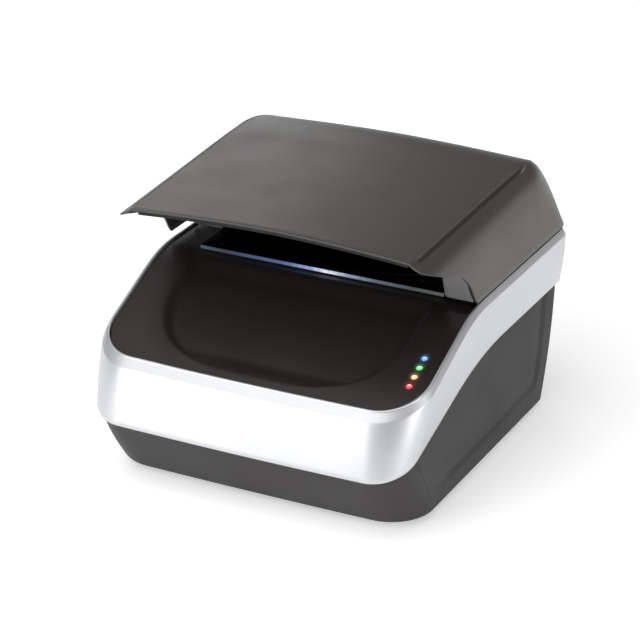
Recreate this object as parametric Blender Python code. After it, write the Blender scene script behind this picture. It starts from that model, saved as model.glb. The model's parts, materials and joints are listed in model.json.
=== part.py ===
"""Passport reader: a desktop document reader with a hinged hood over its window.

Metres, +Z up, the front towards -Y, the origin on the table under the middle of the body.
"""

import math
from collections import namedtuple

import bmesh
import bpy
from mathutils import Vector

# Overall size and the gaps between neighbours
WIDTH = 0.178
DEPTH = 0.204
SEAT_GAP = 0.0003
TAPE_GAP = 0.0001
EDGE_GAP = 0.0006
CUT_PAST = 0.002
DEEP_CUT_PAST = 0.006

# Steps along the plans of the body
CORNER_STEPS = 8
SIDE_STEPS = 16
END_STEPS = 4
FRONT_BOW = 0.0006

# Silver band, its lower edge: plan, then heights behind and the fall towards the front
FOOT_SIDE_INSET = 0.0027
FOOT_FRONT_RADIUS = 0.0197
FOOT_REAR_RADIUS = 0.0100
BAND_FOOT_REAR = 0.0652
BAND_FALL_RUN = 0.1000
BAND_FOOT_FALL = 0.0336
BAND_FOOT_KNEE_OFFSET = 0.0045
BAND_FOOT_KNEE_REACH = 0.0280

# Silver band, its widest line under the chamfer
RIM_FRONT_INSET = 0.0080
RIM_REAR_INSET = 0.0010
RIM_FRONT_RADIUS = 0.0250
RIM_REAR_RADIUS = 0.0100
RIM_DROP_FRONT = 0.0050
RIM_DROP_REAR = 0.0033

# Silver band, its inner top edge round the deck
LIP_SIDE_INSET = 0.0029
LIP_FRONT_INSET = 0.0126
LIP_REAR_INSET = 0.0040
LIP_FRONT_RADIUS = 0.0220
LIP_REAR_RADIUS = 0.0070
BAND_TOP_REAR = 0.0957
BAND_TOP_FALL = 0.0421
BAND_TOP_KNEE_OFFSET = 0.0083
BAND_TOP_KNEE_REACH = 0.0140
LIP_WIDTH = 0.0011
LIP_DEPTH = 0.0030
LIP_SLOPE = 0.0012
BAND_WALL = 0.0024
BAND_FOOT_LIP = 0.0009
BAND_BELLY_SHARES = ((0.05, 0.0), (0.35, 0.55), (0.70, 0.75))
BAND_BELLY = 0.0008

# Lower housing
BASE_FLOOR = 0.0030
BASE_SET_BACK = 0.0022
BASE_SIDE_INSET = 0.0044
BASE_FRONT_INSET = 0.0210
BASE_REAR_INSET = 0.0185
BASE_FRONT_RADIUS = 0.0227
BASE_REAR_RADIUS = 0.008
BASE_WALL = 0.0025
BASE_EDGE_ROUND = 0.0012
BASE_BULGE = 0.0009
BASE_LEVEL_SHARES = (0.08, 0.36, 0.7)
RIM_WIDTH = 0.0020
RIM_STEP = 0.0012

# Shallow panel pressed into each side wall: places along the body and heights
PANEL_DEPTH = 0.0009
PANEL_REAR_TOP_INSET = 0.0020
PANEL_REAR_FOOT_INSET = 0.0135
PANEL_CORNER = 0.0080
PANEL_FOOT_REAR = 0.0165
PANEL_FOOT_FRONT = 0.0140
PANEL_FRONT_FOOT_INSET = 0.0190
PANEL_FRONT_TOP_INSET = 0.0020
PANEL_TOP_MARGIN = 0.0022
PANEL_STEPS = 8

# Deck inside the band
DECK_STEP = 0.0014
DECK_WALL = 0.0022
DECK_COLUMNS = 20
SCOOP_DEPTH = 0.0030
SCOOP_SIDE_MARGIN = 0.0186
SCOOP_FRONT_MARGIN = 0.0049
SCOOP_TAPER_REACH = 0.0225
SCOOP_POWER = 2.6
SCOOP_WALL = 0.0050
SCOOP_FRONT_FADE = 0.0120
SCOOP_BACK_REACH = 0.0150
SCOOP_BACK_GAP = 0.0025

# Window
GLASS_SIDE_GAP = 0.0166
GLASS_REAR_MARGIN = 0.0205
GLASS_LENGTH = 0.0900
GLASS_THICKNESS = 0.0018
GLASS_LEDGE = 0.0030
GASKET_THICKNESS = 0.0005
GASKET_WIDTH = 0.0020

# Hood: outer shell, its middle line rising from the front and rolling over at the rear
HOOD_FRONT_INSET = 0.0335
HOOD_REAR_INSET = 0.0005
HOOD_FOOT_GAP = 0.0027
HOOD_FRONT_HEIGHT = 0.0404
HOOD_RISE = 0.040
HOOD_ROLL_REACH = 0.0700
HOOD_ROLL_POWER = 2.75
HOOD_WALL = 0.0022
HOOD_LONG_STEPS = 5
HOOD_ROLL_STEPS = 11

# Hood: its section, from the crown over the crease and down the side
HOOD_SIDE_INSET = 0.0003
HOOD_CROWN_DROP_FRONT = 0.0036
HOOD_CROWN_DROP_REAR = 0.0024
HOOD_CROWN_POWER = 1.7
CREASE_FRONT_INSET = 0.0139
CREASE_REAR_INSET = 0.0118
HOOD_CREASE_WIDTH = 0.0030
HOOD_CREASE_DROP = 0.0021
CREASE_FADE_START_INSET = 0.0535
CREASE_FADE_END_INSET = 0.0295
HOOD_CORNER_FOOT = 0.0137
HOOD_CORNER_TOP = 0.0493
CROWN_PLACE_SHARES = (0.0, 0.2, 0.4, 0.6, 0.78, 0.9, 1.0)
CREASE_PLACE_SHARES = (0.3, 0.6, 1.0)
CREASE_FALL_SHARES = (0.5, 0.88, 1.0)
SHOULDER_DROP_SHARES = (0.0, 0.035, 0.10, 0.22, 0.45, 1.0)
SHOULDER_OUT_SHARES = (0.0, 0.24, 0.46, 0.64, 0.82, 1.0)
HOOD_SIDE_STEPS = 7
SIDE_STEP_POWER = 1.5

# Hood: the sweep of its side walls' lower edges, which ends further forward on the right
SWEEP_TOP_DROP = 0.0070
SWEEP_LENGTH_LEFT = 0.0620
SWEEP_LENGTH_RIGHT = 0.0492
SWEEP_STEPS = 20
SWEEP_STEP_POWER = 0.8
SWEEP_PLACE_SHARES = (0.0, 0.05, 0.18, 0.34, 0.54, 0.69, 0.785, 0.846, 0.886, 0.923, 0.961, 1.0)
SWEEP_DROP_SHARES = (0.0, 0.042, 0.129, 0.23, 0.344, 0.437, 0.545, 0.64, 0.725, 0.823, 0.922, 1.0)

# Hood: inner moulding with a hollow cheek on each side of the window
LINER_FRONT_INSET = 0.0035
LINER_REAR_GAP = 0.0033
LINER_WALL = 0.0018
LINER_SIDE_GAP = 0.0009
CEILING_INSET = 0.0023
CHEEK_SET_BACK_LEFT = 0.0205
CHEEK_SET_BACK_RIGHT = 0.0068
CHEEK_LEAN = 0.34
CHEEK_GLASS_GAP = 0.0004
CHEEK_FOOT_GAP = 0.0014
CHEEK_FRONT_HEIGHT = 0.0303

# Hood hinge: the axis runs along X low in the hood's rear edge
HINGE_REAR_INSET = 0.0051
HINGE_RISE = 0.0041
HINGE_SIDE_INSET = 0.0437
KNUCKLE_LENGTH = 0.0060
KNUCKLE_RADIUS = 0.0024
PIN_RADIUS = 0.0012
PIN_HEAD_RADIUS = 0.0021
PIN_HEAD = 0.0009
HINGE_PLATE = 0.0012
BRACKET_REACH = 0.0044
BRACKET_LENGTH = 0.0060
BRACKET_WIDTH = 0.0140
ARM_WIDTH = 0.0120
ARM_LEAF_DROP = 0.0015
ARM_LEAF_HEIGHT = 0.0160

# Status lights on the right of the deck
LIGHT_SIDE_MARGIN = 0.0098
LIGHT_FRONT_MARGIN = 0.0367
LIGHT_PITCH = 0.0057
LIGHT_RADIUS = 0.0015
LIGHT_PROUD = 0.0004
LIGHT_NAMES = ("blue", "green", "amber", "red")
INDICATOR_OFFSET = 0.0013
INDICATOR_WIDTH = 0.0070
INDICATOR_DROP = 0.008671
INDICATOR_MARGIN = 0.0055
INDICATOR_POST_RADIUS = 0.0018

# Bottom cover, feet and cover screws
COVER_THICKNESS = 0.0030
FOOT_RADIUS = 0.0070
FOOT_SIDE_MARGIN = 0.0226
FOOT_FRONT_MARGIN = 0.0210
FOOT_REAR_MARGIN = 0.0195
SCREW_SIDE_MARGIN = 0.0126
SCREW_FRONT_MARGIN = 0.0410
SCREW_REAR_MARGIN = 0.0235
SCREW_HEAD_RADIUS = 0.0030
SCREW_HEAD = 0.0016
SCREW_SHANK_RADIUS = 0.0014
SCREW_LENGTH = 0.0130
BOSS_RADIUS = 0.0040
BOSS_TOP = 0.0220
BOSS_RIB = 0.0024

# Circuit boards and what stands on them
BOARD = 0.0016
MAIN_BOARD_FLOOR = 0.0113
BOARD_SIDE_MARGIN = 0.0226
BOARD_FRONT_MARGIN = 0.0360
POST_RADIUS = 0.0030
POST_SCREW_GAP = 0.0170
POST_Y = (-0.0380, 0.0380)
CHIP_SIDE = 0.0170
CHIP_HEIGHT = 0.0016
CHIP_SIDE_MARGIN = 0.0300
CHIP_MARGIN = 0.0250
MODULE_SIZE = (0.0300, 0.0220, 0.0030)
MODULE_SIDE_MARGIN = 0.0300
MODULE_MARGIN = 0.0200
BUZZER_RADIUS = 0.0060
BUZZER_HEIGHT = 0.0070
BUZZER_MARGIN = 0.0110

# Rear sockets in a recessed panel
IO_HALF_WIDTH = 0.0360
IO_FLOOR = 0.0102
IO_TOP = 0.0300
IO_WALL = 0.0016
IO_RECESS = 0.0065
IO_PROUD = 0.0001
IO_LEAN = 0.0052
USB_X = -0.0180
USB_WIDTH = 0.0120
USB_LENGTH = 0.0136
USB_HEIGHT = 0.0110
USB_MOUTH_WIDTH = 0.0086
USB_MOUTH_HEIGHT = 0.0078
SOCKET_DEPTH = 0.0090
SOCKET_PROUD = 0.0006
JACK_X = 0.0040
JACK_WIDTH = 0.0100
JACK_MOUTH_RADIUS = 0.0032
LOCK_X = 0.0240
LOCK_Z = 0.0190
LOCK_SLOT = (0.0070, 0.0030)
LOCK_PLATE = (0.0140, 0.0012, 0.0110)

# Optics: light box, illumination, aerial and camera
ANTENNA_SIDE_REACH = 0.0020
ANTENNA_FRONT_REACH = 0.0006
ANTENNA_REAR_REACH = 0.0020
BOX_SIDE_GAP = 0.0106
BOX_FRONT_INSET = 0.0020
BOX_REAR_REACH = 0.0055
BOX_SHOULDER = 0.0600
BOX_FLOOR = 0.0230
BOX_FOOT_HALF = 0.0260
BOX_WALL = 0.0018
LIGHT_BOARD_FLOOR = 0.0660
LIGHT_BOARD_HEIGHT = 0.0160
LIGHT_BOARD_MARGIN = 0.0060
DIFFUSER = 0.0020
CAMERA_BOARD_SIDE = 0.0400
HOLDER_RADIUS = 0.0080
HOLDER_BORE = 0.0065
HOLDER_HEIGHT = 0.0090
BARREL_BORE = 0.0050
BARREL_HEIGHT = 0.0130
LENS_THICKNESS = 0.0024
LENS_SEAT = 0.0030
RIBBON_WIDTH = 0.0120
RIBBON_THICKNESS = 0.0006
RIBBON_REACH = 0.0100
RIBBON_PLUG = 0.0040
RIBBON_STEPS = 10

# Derived heights and places
HALF_WIDTH = WIDTH / 2
FRONT = -DEPTH / 2
REAR = DEPTH / 2
FOOT_HALF_WIDTH = HALF_WIDTH - FOOT_SIDE_INSET
RIM_FRONT = FRONT + RIM_FRONT_INSET
RIM_REAR = REAR - RIM_REAR_INSET
LIP_HALF_WIDTH = HALF_WIDTH - LIP_SIDE_INSET
LIP_FRONT = FRONT + LIP_FRONT_INSET
LIP_REAR = REAR - LIP_REAR_INSET
BASE_HALF_WIDTH = HALF_WIDTH - BASE_SIDE_INSET
BASE_FRONT = FRONT + BASE_FRONT_INSET
BASE_REAR = REAR - BASE_REAR_INSET
PANEL_REAR_TOP = BASE_REAR - PANEL_REAR_TOP_INSET
PANEL_REAR_FOOT = BASE_REAR - PANEL_REAR_FOOT_INSET
PANEL_FRONT_FOOT = BASE_FRONT + PANEL_FRONT_FOOT_INSET
PANEL_FRONT_TOP = BASE_FRONT + PANEL_FRONT_TOP_INSET
GLASS_HALF = BASE_HALF_WIDTH - GLASS_SIDE_GAP
GLASS_FRONT = LIP_REAR - GLASS_REAR_MARGIN - GLASS_LENGTH
GLASS_REAR = GLASS_FRONT + GLASS_LENGTH
WINDOW_MIDDLE = (GLASS_FRONT + GLASS_REAR) / 2
OPENING_HALF = GLASS_HALF - GLASS_LEDGE
OPENING_FRONT = GLASS_FRONT + GLASS_LEDGE
OPENING_REAR = GLASS_REAR - GLASS_LEDGE
BAND_TOP_SLOPE = BAND_TOP_FALL / BAND_FALL_RUN
BAND_FOOT_SLOPE = BAND_FOOT_FALL / BAND_FALL_RUN
BAND_TOP_KNEE = (GLASS_FRONT - BAND_TOP_KNEE_OFFSET, BAND_TOP_KNEE_REACH)
BAND_FOOT_KNEE = (GLASS_FRONT + BAND_FOOT_KNEE_OFFSET, BAND_FOOT_KNEE_REACH)
DECK_TOP = BAND_TOP_REAR - DECK_STEP
DECK_UNDER = DECK_TOP - DECK_WALL
SCOOP_FRONT = LIP_FRONT + SCOOP_FRONT_MARGIN
SCOOP_TAPER_START = GLASS_FRONT - SCOOP_TAPER_REACH
SCOOP_BACK_START = GLASS_FRONT - SCOOP_BACK_REACH
SCOOP_BACK_END = GLASS_FRONT - SCOOP_BACK_GAP
SCOOP_HALF = LIP_HALF_WIDTH - SCOOP_SIDE_MARGIN
HOOD_HALF_WIDTH = HALF_WIDTH - HOOD_SIDE_INSET
HOOD_FRONT = FRONT + HOOD_FRONT_INSET
HOOD_REAR = REAR - HOOD_REAR_INSET
HOOD_FOOT = BAND_TOP_REAR + HOOD_FOOT_GAP
HOOD_TOP_FRONT = HOOD_FOOT + HOOD_FRONT_HEIGHT
HOOD_ROLL_START = HOOD_REAR - HOOD_ROLL_REACH
HOOD_CREASE_FRONT = HOOD_HALF_WIDTH - CREASE_FRONT_INSET
HOOD_CREASE_REAR = HOOD_HALF_WIDTH - CREASE_REAR_INSET
HOOD_CREASE_FADE = (HOOD_REAR - CREASE_FADE_START_INSET, HOOD_REAR - CREASE_FADE_END_INSET)
SWEEP_TOP = HOOD_TOP_FRONT - SWEEP_TOP_DROP
SWEEP_REAR_LEFT = HOOD_FRONT + SWEEP_LENGTH_LEFT
SWEEP_REAR_RIGHT = HOOD_FRONT + SWEEP_LENGTH_RIGHT
LINER_FRONT = HOOD_FRONT + LINER_FRONT_INSET
LINER_REAR = GLASS_REAR + LINER_REAR_GAP
LINER_CEILING_HALF = HOOD_CREASE_FRONT - CEILING_INSET
CHEEK_FRONT_LEFT = SWEEP_REAR_LEFT + CHEEK_SET_BACK_LEFT
CHEEK_FRONT_RIGHT = SWEEP_REAR_RIGHT + CHEEK_SET_BACK_RIGHT
CHEEK_HALF = GLASS_HALF + CHEEK_GLASS_GAP
CHEEK_FOOT = DECK_TOP + CHEEK_FOOT_GAP
CHEEK_FRONT_TOP = CHEEK_FOOT + CHEEK_FRONT_HEIGHT
HINGE_AXIS_Y = HOOD_REAR - HINGE_REAR_INSET
HINGE_AXIS_Z = HOOD_FOOT + HINGE_RISE
HINGE_INNER_X = HOOD_HALF_WIDTH - HINGE_SIDE_INSET
BRACKET_BACK = HINGE_AXIS_Y - BRACKET_REACH
ARM_LEAF_FOOT = HINGE_AXIS_Z - ARM_LEAF_DROP
ARM_LEAF_TOP = ARM_LEAF_FOOT + ARM_LEAF_HEIGHT
LIGHT_X = LIP_HALF_WIDTH - LIGHT_SIDE_MARGIN
LIGHT_FIRST_Y = LIP_FRONT + LIGHT_FRONT_MARGIN
LIGHT_LAST_Y = LIGHT_FIRST_Y - LIGHT_PITCH * (len(LIGHT_NAMES) - 1)
INDICATOR_TOP = DECK_TOP - BAND_TOP_SLOPE * (BAND_TOP_KNEE[0] - LIGHT_LAST_Y) - INDICATOR_DROP
INDICATOR_X = LIGHT_X - INDICATOR_OFFSET
FOOT_Y = (BASE_FRONT + FOOT_FRONT_MARGIN, BASE_REAR - FOOT_REAR_MARGIN)
SCREW_Y = (BASE_FRONT + SCREW_FRONT_MARGIN, BASE_REAR - SCREW_REAR_MARGIN)
FOOT_X = BASE_HALF_WIDTH - FOOT_SIDE_MARGIN
SCREW_X = BASE_HALF_WIDTH - SCREW_SIDE_MARGIN
POST_X = SCREW_X - POST_SCREW_GAP
MAIN_BOARD_HALF = BASE_HALF_WIDTH - BOARD_SIDE_MARGIN
MAIN_BOARD_FRONT = BASE_FRONT + BOARD_FRONT_MARGIN
CHIP_PLACE = (CHIP_SIDE_MARGIN - MAIN_BOARD_HALF, MAIN_BOARD_FRONT + CHIP_MARGIN)
MODULE_PLACE = (MAIN_BOARD_HALF - MODULE_SIDE_MARGIN, MAIN_BOARD_FRONT + MODULE_MARGIN)
BUZZER_PLACE = (0.0, MAIN_BOARD_FRONT + BUZZER_MARGIN)
IO_FACE = BASE_REAR - IO_RECESS
IO_DEPTH_FLOOR = BASE_REAR + IO_PROUD
IO_DEPTH_TOP = IO_DEPTH_FLOOR + IO_LEAN
BOX_HALF_WIDTH = BASE_HALF_WIDTH - BOX_SIDE_GAP
BOX_FRONT = GLASS_FRONT + BOX_FRONT_INSET
BOX_REAR = GLASS_REAR + BOX_REAR_REACH
ANTENNA_HALF = BOX_HALF_WIDTH + ANTENNA_SIDE_REACH
ANTENNA_FRONT = BOX_FRONT - ANTENNA_FRONT_REACH
ANTENNA_REAR = BOX_REAR + ANTENNA_REAR_REACH
GASKET_FLOOR = DECK_TOP + TAPE_GAP
GLASS_FLOOR = GASKET_FLOOR + GASKET_THICKNESS + TAPE_GAP
COVER_TOP = BASE_FLOOR + COVER_THICKNESS
MAIN_BOARD_TOP = MAIN_BOARD_FLOOR + BOARD
PARTS_FLOOR = MAIN_BOARD_TOP + SEAT_GAP
ANTENNA_TOP = DECK_UNDER - SEAT_GAP
BOX_TOP = ANTENNA_TOP - BOARD - SEAT_GAP
CAMERA_TOP = BOX_FLOOR - SEAT_GAP
CAMERA_FLOOR = CAMERA_TOP - BOARD

ROUND_SIDES = 20
FINE_SIDES = 32

Plan = namedtuple("Plan", "half_width front rear front_radius rear_radius bow")
FOOT_PLAN = Plan(FOOT_HALF_WIDTH, FRONT, REAR, FOOT_FRONT_RADIUS, FOOT_REAR_RADIUS, FRONT_BOW)
RIM_PLAN = Plan(HALF_WIDTH, RIM_FRONT, RIM_REAR, RIM_FRONT_RADIUS, RIM_REAR_RADIUS, FRONT_BOW)
LIP_PLAN = Plan(LIP_HALF_WIDTH, LIP_FRONT, LIP_REAR, LIP_FRONT_RADIUS, LIP_REAR_RADIUS, FRONT_BOW)
BASE_PLAN = Plan(BASE_HALF_WIDTH, BASE_FRONT, BASE_REAR, BASE_FRONT_RADIUS, BASE_REAR_RADIUS, FRONT_BOW)


# Curves that the shapes follow


def ease(low, high, value):
    """Cosine ease from 0 at low to 1 at high."""
    share = min(max((value - low) / (high - low), 0.0), 1.0)
    return (1 - math.cos(math.pi * share)) / 2


def mix(start, end, share):
    return start + (end - start) * share


def follow(places, values, place):
    """Straight-line reading of a table."""
    for low, high, first, second in zip(places, places[1:], values, values[1:]):
        if place <= high:
            return mix(first, second, max(place - low, 0.0) / (high - low))
    return values[-1]


def ramp(y, high, slope, knee):
    """A level height that bends over a knee into a straight fall towards the front."""
    middle, reach = knee
    if y >= middle + reach:
        return high
    if y <= middle - reach:
        return high - slope * (middle - y)
    return high - slope * (middle + reach - y) ** 2 / (4 * reach)


def band_top(y):
    return ramp(y, BAND_TOP_REAR, BAND_TOP_SLOPE, BAND_TOP_KNEE)


def band_foot(y):
    return ramp(y, BAND_FOOT_REAR, BAND_FOOT_SLOPE, BAND_FOOT_KNEE)


def rim_drop(y):
    """How far the band's widest line lies below its top edge."""
    return mix(RIM_DROP_FRONT, RIM_DROP_REAR, ease(FRONT, BAND_TOP_KNEE[0], y))


def plan_stations(plan):
    """(x, y, outward x, outward y) round a plan, from the front centre towards +X and round."""
    turn = 2 * plan.bow / (plan.half_width - plan.front_radius)
    corner_x = plan.half_width - plan.front_radius
    end_x = corner_x + plan.front_radius * math.sin(turn)
    corner_y = plan.front + plan.bow + plan.front_radius * math.cos(turn)
    rear_x = plan.half_width - plan.rear_radius
    rear_y = plan.rear - plan.rear_radius
    half = []
    for step in range(END_STEPS):
        x = end_x * step / END_STEPS
        lean = math.atan(2 * plan.bow * x / end_x**2)
        half.append((x, plan.front + plan.bow * (x / end_x) ** 2, math.sin(lean), -math.cos(lean)))
    for step in range(CORNER_STEPS + 1):
        angle = mix(turn, math.pi / 2, step / CORNER_STEPS)
        out = (math.sin(angle), -math.cos(angle))
        half.append((corner_x + plan.front_radius * out[0], corner_y + plan.front_radius * out[1], *out))
    for step in range(1, SIDE_STEPS):
        half.append((plan.half_width, mix(corner_y, rear_y, step / SIDE_STEPS), 1.0, 0.0))
    for step in range(CORNER_STEPS + 1):
        angle = math.pi / 2 * step / CORNER_STEPS
        out = (math.cos(angle), math.sin(angle))
        half.append((rear_x + plan.rear_radius * out[0], rear_y + plan.rear_radius * out[1], *out))
    for step in range(1, END_STEPS + 1):
        half.append((rear_x * (1 - step / END_STEPS), plan.rear, 0.0, 1.0))
    return half + [(-x, y, -out_x, out_y) for x, y, out_x, out_y in half[-2:0:-1]]


def inset_point(station, inset):
    x, y, out_x, out_y = station
    return x - out_x * inset, y - out_y * inset


# Scene, materials and mesh helpers


def clear_scene():
    for old in list(bpy.data.objects):
        bpy.data.objects.remove(old, do_unlink=True)


def material(name, colour, roughness, metallic=0.0):
    made = bpy.data.materials.get(name) or bpy.data.materials.new(name)
    made.use_nodes = True
    shader = made.node_tree.nodes["Principled BSDF"]
    shader.inputs["Base Color"].default_value = (*colour, 1.0)
    shader.inputs["Roughness"].default_value = roughness
    shader.inputs["Metallic"].default_value = metallic
    made.diffuse_color = (*colour, 1.0)
    return made


def hood_plastic():
    return material("hood_plastic", (0.105, 0.100, 0.095), 0.42)


def base_plastic():
    return material("base_plastic", (0.070, 0.070, 0.067), 0.55)


def silver_paint():
    return material("silver_paint", (0.78, 0.79, 0.80), 0.28, 0.6)


def gloss_black():
    return material("gloss_black", (0.020, 0.018, 0.017), 0.18)


def satin_black():
    return material("satin_black", (0.030, 0.028, 0.028), 0.35)


def board_green():
    return material("board_green", (0.02, 0.16, 0.07), 0.5)


def steel():
    return material("steel", (0.55, 0.56, 0.57), 0.3, 1.0)


def rubber():
    return material("rubber", (0.02, 0.02, 0.02), 0.85)


def clear_glass():
    return material("clear_glass", (0.03, 0.035, 0.04), 0.03)


def new_object(name, points, faces, finish=None):
    mesh = bpy.data.meshes.new(name)
    mesh.from_pydata([tuple(p) for p in points], [], faces)
    mesh.validate()
    shape = bmesh.new()
    shape.from_mesh(mesh)
    bmesh.ops.recalc_face_normals(shape, faces=shape.faces)
    shape.to_mesh(mesh)
    shape.free()
    made = bpy.data.objects.new(name, mesh)
    bpy.context.scene.collection.objects.link(made)
    if finish is None:
        made.hide_render = True
        made.display_type = "WIRE"
    else:
        mesh.materials.append(finish)
    return made


def smooth(made, degrees=35.0):
    made.data.shade_smooth()
    made.data.set_sharp_from_angle(angle=math.radians(degrees))
    return made


def prism(name, loop, low, high, finish=None, axis="Z"):
    """A loop of 2-D points pushed from low to high along an axis."""
    place = {
        "X": lambda a, b, c: (c, a, b),
        "Y": lambda a, b, c: (a, c, b),
        "Z": lambda a, b, c: (a, b, c),
    }[axis]
    count = len(loop)
    points = [place(a, b, low) for a, b in loop] + [place(a, b, high) for a, b in loop]
    faces = [(i, (i + 1) % count, count + (i + 1) % count, count + i) for i in range(count)]
    faces += [tuple(range(count)), tuple(range(count, 2 * count))]
    return new_object(name, points, faces, finish)


def box(name, low, high, finish=None):
    corners = [(low[0], low[1]), (high[0], low[1]), (high[0], high[1]), (low[0], high[1])]
    return prism(name, corners, low[2], high[2], finish)


def circle(centre, radius, sides=ROUND_SIDES):
    angles = [2 * math.pi * step / sides for step in range(sides)]
    return [(centre[0] + radius * math.cos(a), centre[1] + radius * math.sin(a)) for a in angles]


def rod(name, centre, radius, low, high, finish=None, axis="Z", sides=ROUND_SIDES):
    return prism(name, circle(centre, radius, sides), low, high, finish, axis)


def ring_solid(name, sections, finish=None):
    """A closed ring whose sections are closed polygons with matching corners."""
    count, corners = len(sections), len(sections[0])
    points = [point for section in sections for point in section]
    faces = []
    for i in range(count):
        near, far = i * corners, (i + 1) % count * corners
        for k in range(corners):
            after = (k + 1) % corners
            faces.append((near + k, near + after, far + after, far + k))
    return new_object(name, points, faces, finish)


def loft(name, sections, finish=None):
    """A solid through closed polygons with matching corners, capped at both ends."""
    count, corners = len(sections), len(sections[0])
    points = [point for section in sections for point in section]
    faces = []
    for i in range(count - 1):
        near, far = i * corners, (i + 1) * corners
        for k in range(corners):
            after = (k + 1) % corners
            faces.append((near + k, near + after, far + after, far + k))
    faces += [tuple(range(corners)), tuple(range((count - 1) * corners, count * corners))]
    return new_object(name, points, faces, finish)


def sheet(name, rows, thickness, finish=None):
    """An open grid of points given a wall by Solidify, on the side away from its faces' front."""
    columns = len(rows[0])
    points = [point for row in rows for point in row]
    faces = [
        (i * columns + k, i * columns + k + 1, (i + 1) * columns + k + 1, (i + 1) * columns + k)
        for i in range(len(rows) - 1)
        for k in range(columns - 1)
    ]
    made = new_object(name, points, faces, finish)
    turn_up(made)
    wall = made.modifiers.new("Wall", "SOLIDIFY")
    wall.thickness = thickness
    wall.offset = -1.0
    wall.use_even_offset = True
    return made


def turn_up(made):
    """Turns an open sheet so that its faces look up and out."""
    shape = bmesh.new()
    shape.from_mesh(made.data)
    bmesh.ops.recalc_face_normals(shape, faces=shape.faces)
    shape.faces.ensure_lookup_table()
    if sum(face.normal.z * face.calc_area() for face in shape.faces) < 0:
        bmesh.ops.reverse_faces(shape, faces=shape.faces)
    shape.to_mesh(made.data)
    shape.free()


def boolean(target, operation, *others):
    for other in others:
        step = target.modifiers.new(other.name, "BOOLEAN")
        step.operation = operation
        step.solver = "EXACT"
        step.object = other
    return target


def cut(target, *cutters):
    return boolean(target, "DIFFERENCE", *cutters)


def join(target, *others):
    return boolean(target, "UNION", *others)


# Body


def body_stations():
    """Matching stations of the base, the band's foot, its widest line and its inner top edge."""
    return zip(*(plan_stations(plan) for plan in (BASE_PLAN, FOOT_PLAN, RIM_PLAN, LIP_PLAN)))


def band_section(foot_station, rim_station, lip_station):
    """From the foot up the outside, over the chamfer and the lip, and down the inside."""
    top, foot = band_top(lip_station[1]), band_foot(foot_station[1])
    shoulder = top - rim_drop(lip_station[1])
    low = Vector((*inset_point(foot_station, 0), foot))
    high = Vector((*inset_point(rim_station, 0), shoulder))
    out = Vector((rim_station[2], rim_station[3], 0))
    points = [Vector((*inset_point(foot_station, BAND_WALL), foot))]
    points.append(Vector((*inset_point(foot_station, BAND_FOOT_LIP), foot)))
    for height_share, belly_share in BAND_BELLY_SHARES:
        points.append(low.lerp(high, height_share) + out * BAND_BELLY * belly_share)
    points.append(high)
    under = top - LIP_DEPTH
    for inset, z in ((-LIP_WIDTH, top), (0, top), (0, under)):
        points.append(Vector((*inset_point(lip_station, inset), z)))
    points.append(Vector((*inset_point(rim_station, BAND_WALL), under - LIP_SLOPE)))
    return points


def make_silver_band():
    sections = [band_section(*stations[1:]) for stations in body_stations()]
    return smooth(ring_solid("silver_band", sections, silver_paint()))


def base_section(base_station, foot_station, rim_station, lip_station):
    """Up the outside, in under the band, over the rim and down the inside."""
    top, foot = band_top(lip_station[1]), band_foot(foot_station[1]) - SEAT_GAP
    start = Vector((*inset_point(base_station, 0), BASE_FLOOR))
    end = Vector((*inset_point(foot_station, BASE_SET_BACK), foot))
    out = Vector((base_station[2], base_station[3], 0))
    points = [start - out * BASE_EDGE_ROUND, start.lerp(end, BASE_EDGE_ROUND / (foot - BASE_FLOOR))]
    for share in BASE_LEVEL_SHARES:
        points.append(start.lerp(end, share) + out * BASE_BULGE * math.sin(math.pi * share))
    points.append(end)
    behind = BAND_WALL + SEAT_GAP
    rim_top = top - DECK_STEP - DECK_WALL - SEAT_GAP
    slope_foot = top - LIP_DEPTH - LIP_SLOPE - SEAT_GAP - RIM_STEP
    wall_foot = slope_foot - RIM_STEP - RIM_WIDTH
    places = [
        (foot_station, behind, foot),
        (rim_station, behind, slope_foot),
        (lip_station, EDGE_GAP, rim_top - SEAT_GAP),
        (lip_station, EDGE_GAP, rim_top),
        (lip_station, EDGE_GAP + RIM_WIDTH, rim_top),
        (lip_station, EDGE_GAP + RIM_WIDTH, slope_foot - RIM_STEP),
        (rim_station, behind + BASE_WALL, wall_foot),
        (foot_station, behind + BASE_WALL, foot),
    ]
    points += [Vector((*inset_point(station, inset), z)) for station, inset, z in places]
    for share in reversed(BASE_LEVEL_SHARES):
        points.append(start.lerp(end, share) - out * BASE_WALL)
    points.append(start - out * (BASE_WALL + BASE_EDGE_ROUND / 2))
    return points


def side_panel_cutter(side):
    """A slab whose inner face lies just under the sloping side wall."""
    outline = [(PANEL_FRONT_FOOT, PANEL_FOOT_FRONT), (PANEL_REAR_FOOT - PANEL_CORNER, PANEL_FOOT_REAR)]
    for step in range(1, PANEL_STEPS):
        angle = math.pi / 2 * step / PANEL_STEPS
        outline.append(
            (
                PANEL_REAR_FOOT - PANEL_CORNER * (1 - math.sin(angle)),
                PANEL_FOOT_REAR + PANEL_CORNER * (1 - math.cos(angle)),
            )
        )
    for step in range(PANEL_STEPS + 1):
        y = mix(PANEL_REAR_TOP, PANEL_FRONT_TOP, step / PANEL_STEPS)
        outline.append((y, band_foot(y) - PANEL_TOP_MARGIN))
    foot_x = BASE_HALF_WIDTH - PANEL_DEPTH
    top_x = FOOT_HALF_WIDTH - BASE_SET_BACK - PANEL_DEPTH
    inner = [
        (side * (mix(foot_x, top_x, (z - BASE_FLOOR) / (BAND_FOOT_REAR - BASE_FLOOR)) + BASE_BULGE / 2), y, z)
        for y, z in outline
    ]
    outer = [(side * (HALF_WIDTH + CUT_PAST), y, z) for y, z in outline]
    return loft(f"side_panel_cutter_{side}", [inner, outer])


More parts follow.
